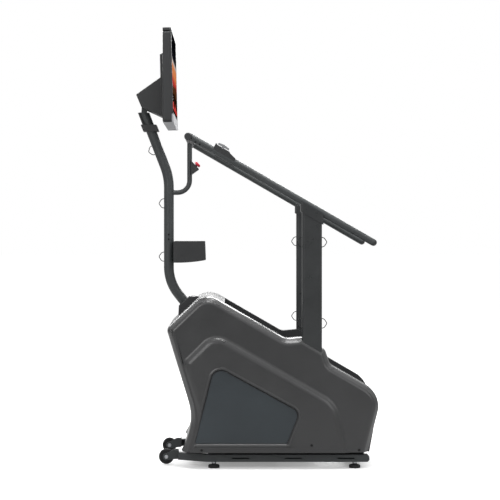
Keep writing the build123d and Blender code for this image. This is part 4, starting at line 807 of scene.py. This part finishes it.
class CLIMBER_OT_screen(bpy.types.Operator):
    """Lights the screen: an evening picture and a workout chart of plain bars"""

    bl_idname = "climber.screen"
    bl_label = "Screen picture"

    def execute(self, context):
        details = context.scene.climber_details
        margin = details.picture_margin
        place, size, lift = self.picture_plane(details.picture_lift, margin)
        picture = self.panel(place, Vector((0, 0)), size)
        settle(picture, "screen_picture", BODY_OF["screen_glass"], "screen")
        picture.data.materials[0] = FINISHES["picture"]
        bars = []
        pitch = size.x / details.bar_count
        for step in range(details.bar_count):
            height = details.chart_height * self.effort(step)
            centre = Vector((pitch * (step + 0.5) - size.x / 2, (height - size.y) / 2 + margin))
            bars.append(self.panel(lift @ place, centre, Vector((pitch * BAR_SHARE, height))))
        select_only(*bars)
        bpy.ops.object.join()
        chart = settle(bars[0], "screen_chart", BODY_OF["screen_glass"], "screen")
        chart.data.materials[0] = FINISHES["bars"]
        return {"FINISHED"}

    def picture_plane(self, lift, margin):
        """Plane over the glass, the picture's width and height, and a step outward."""
        low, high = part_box("screen_glass")
        glass = [vertex.co for vertex in frame["nodes"]["screen_glass"].data.vertices]
        foot, head = (
            max((co for co in glass if abs(co.z - z) < GLASS_BAND), key=lambda co: co.x)
            for z in (low.z, high.z)
        )
        rise = Vector((head.x - foot.x, 0, head.z - foot.z))
        up = rise.normalized()
        out = Vector((rise.z, 0, -rise.x)).normalized()
        centre = Vector(((foot.x + head.x) / 2, 0, (foot.z + head.z) / 2))
        turn = Matrix(((0, up.x, out.x), (1, 0, 0), (0, up.z, out.z))).to_4x4()
        size = Vector((high.y - low.y - 2 * margin, rise.length - 2 * margin))
        return Matrix.Translation(centre + out * lift) @ turn, size, Matrix.Translation(out * lift)

    def effort(self, step):
        """Share of the full height that a bar of the made-up workout has."""
        return 0.55 + 0.3 * math.sin(step * 0.8) + 0.15 * math.cos(step * 2.1)

    def panel(self, place, centre, size):
        """Thin lit panel of the given size on the screen's plane."""
        piece = added(bpy.ops.mesh.primitive_plane_add, size=1)
        stretch = Matrix.Diagonal((size.x, size.y, 1, 1))
        piece.matrix_world = place @ Matrix.Translation((centre.x, centre.y, 0)) @ stretch
        bpy.ops.object.transform_apply(location=True, rotation=True, scale=True)
        return piece


class CLIMBER_OT_stage(bpy.types.Operator):
    """Floor, surround, soft lamps and the camera"""

    bl_idname = "climber.stage"
    bl_label = "Studio"

    def execute(self, context):
        studio = context.scene.climber_studio
        context.scene.view_settings.view_transform = "Standard"
        self.add_floor(studio)
        self.add_surround(context, studio)
        for name, place, size, setting, share in LAMPS:
            self.add_lamp(name, Vector(place), size, getattr(studio, setting) * share)
        self.add_camera(context, studio)
        return {"FINISHED"}

    def add_floor(self, studio):
        """Matt floor that the camera sees paler than it lights the machine."""
        floor = added(
            bpy.ops.mesh.primitive_plane_add, size=FLOOR_SIZE, location=(0, 0, cad_box[0].z)
        )
        floor.name = "studio_floor"
        material = bpy.data.materials.new("Studio floor")
        material.use_nodes = True
        tree = material.node_tree
        tree.nodes.clear()
        output = add_node(tree, "ShaderNodeOutputMaterial")
        matt = add_node(tree, "ShaderNodeBsdfDiffuse")
        glow = add_node(tree, "ShaderNodeEmission")
        rays = add_node(tree, "ShaderNodeLightPath")
        tone = add_node(tree, "ShaderNodeMix", data_type="RGBA")
        tree.links.new(rays.outputs["Is Camera Ray"], tone.inputs["Factor"])
        bounce = (channel * studio.floor_bounce for channel in studio.floor_colour)
        tone.inputs["A"].default_value = (*bounce, 1)
        tone.inputs["B"].default_value = (*studio.floor_colour, 1)
        tree.links.new(tone.outputs["Result"], matt.inputs["Color"])
        lift = add_node(tree, "ShaderNodeMath", operation="MULTIPLY")
        lift.inputs[1].default_value = studio.floor_lift
        tree.links.new(rays.outputs["Is Camera Ray"], lift.inputs[0])
        tree.links.new(lift.outputs[0], glow.inputs["Strength"])
        both = add_node(tree, "ShaderNodeAddShader")
        tree.links.new(matt.outputs[0], both.inputs[0])
        tree.links.new(glow.outputs[0], both.inputs[1])
        tree.links.new(both.outputs[0], output.inputs["Surface"])
        floor.data.materials.append(material)

    def add_surround(self, context, studio):
        """Soft light from all round, weaker at the sides, plain white to the camera."""
        world = bpy.data.worlds.new("Studio")
        context.scene.world = world
        world.use_nodes = True
        tree = world.node_tree
        back = tree.nodes["Background"]
        back.inputs["Color"].default_value = (1, 1, 1, 1)
        rays = add_node(tree, "ShaderNodeLightPath")
        seen = add_node(tree, "ShaderNodeMath", operation="MAXIMUM")
        tree.links.new(rays.outputs["Is Camera Ray"], seen.inputs[0])
        tree.links.new(rays.outputs["Is Transmission Ray"], seen.inputs[1])
        place = add_node(tree, "ShaderNodeTexCoord")
        split = add_node(tree, "ShaderNodeSeparateXYZ")
        tree.links.new(place.outputs["Generated"], split.inputs["Vector"])
        rise = add_node(tree, "ShaderNodeMapRange")
        rise.inputs["From Max"].default_value = ZENITH
        rise.inputs["To Min"].default_value = studio.horizon
        rise.inputs["To Max"].default_value = studio.surround
        tree.links.new(split.outputs["Z"], rise.inputs["Value"])
        level = add_node(tree, "ShaderNodeMix")
        tree.links.new(seen.outputs[0], level.inputs["Factor"])
        tree.links.new(rise.outputs["Result"], level.inputs["A"])
        level.inputs["B"].default_value = 1.0
        tree.links.new(level.outputs["Result"], back.inputs["Strength"])

    def add_lamp(self, name, place, size, power):
        """Soft box aimed at the middle of the machine."""
        lamp = added(bpy.ops.object.light_add, type="AREA", location=place)
        lamp.name = name
        lamp.data.shape = "RECTANGLE"
        lamp.data.size, lamp.data.size_y = size
        lamp.data.energy = power
        middle = (cad_box[0] + cad_box[1]) / 2
        lamp.rotation_euler = (middle - place).to_track_quat("-Z", "Y").to_euler()

    def add_camera(self, context, studio):
        """Level camera at the photo's angle, square to the machine's left side."""
        place = (studio.camera_x, -studio.camera_distance, studio.camera_height)
        camera = added(bpy.ops.object.camera_add, location=place, rotation=(math.pi / 2, 0, 0))
        camera.name = "Camera"
        camera.data.lens = studio.lens
        camera.data.shift_x = studio.shift
        camera.data.shift_y = -studio.shift
        context.scene.camera = camera


# ------------------------------------------------------------ panel and registration


class CLIMBER_PT_steps(bpy.types.Panel):
    """Lists the steps that dress the climber"""

    bl_idname = "CLIMBER_PT_steps"
    bl_label = "Stair climber"
    bl_space_type = "VIEW_3D"
    bl_region_type = "UI"
    bl_category = "Climber"

    def draw(self, context):
        for operator in OPERATORS:
            self.layout.operator(operator.bl_idname)
        for group in ("climber_colours", "climber_details", "climber_studio"):
            settings = getattr(context.scene, group)
            column = self.layout.column()
            for name in settings.bl_rna.properties.keys():
                if name not in ("rna_type", "name"):
                    column.prop(settings, name)


GROUPS = (
    ("climber_colours", ClimberColours),
    ("climber_details", ClimberDetails),
    ("climber_studio", ClimberStudio),
)
OPERATORS = (
    CLIMBER_OT_finishes, CLIMBER_OT_edges, CLIMBER_OT_beads, CLIMBER_OT_covers, CLIMBER_OT_sockets,
    CLIMBER_OT_treads, CLIMBER_OT_screen, CLIMBER_OT_stage,
)


def register():
    """Registers the settings, the steps and the panel."""
    for _, group in GROUPS:
        bpy.utils.register_class(group)
    for name, group in GROUPS:
        setattr(bpy.types.Scene, name, PointerProperty(type=group))
    for operator in OPERATORS:
        bpy.utils.register_class(operator)
    bpy.utils.register_class(CLIMBER_PT_steps)


def unregister():
    """Takes the add-on out again, in the opposite order."""
    bpy.utils.unregister_class(CLIMBER_PT_steps)
    for operator in reversed(OPERATORS):
        bpy.utils.unregister_class(operator)
    for name, group in reversed(GROUPS):
        delattr(bpy.types.Scene, name)
        bpy.utils.unregister_class(group)


def main():
    """Runs every step in order."""
    register()
    for operator in OPERATORS:
        group, name = operator.bl_idname.split(".")
        getattr(getattr(bpy.ops, group), name)()


if __name__ == "__main__":
    main()
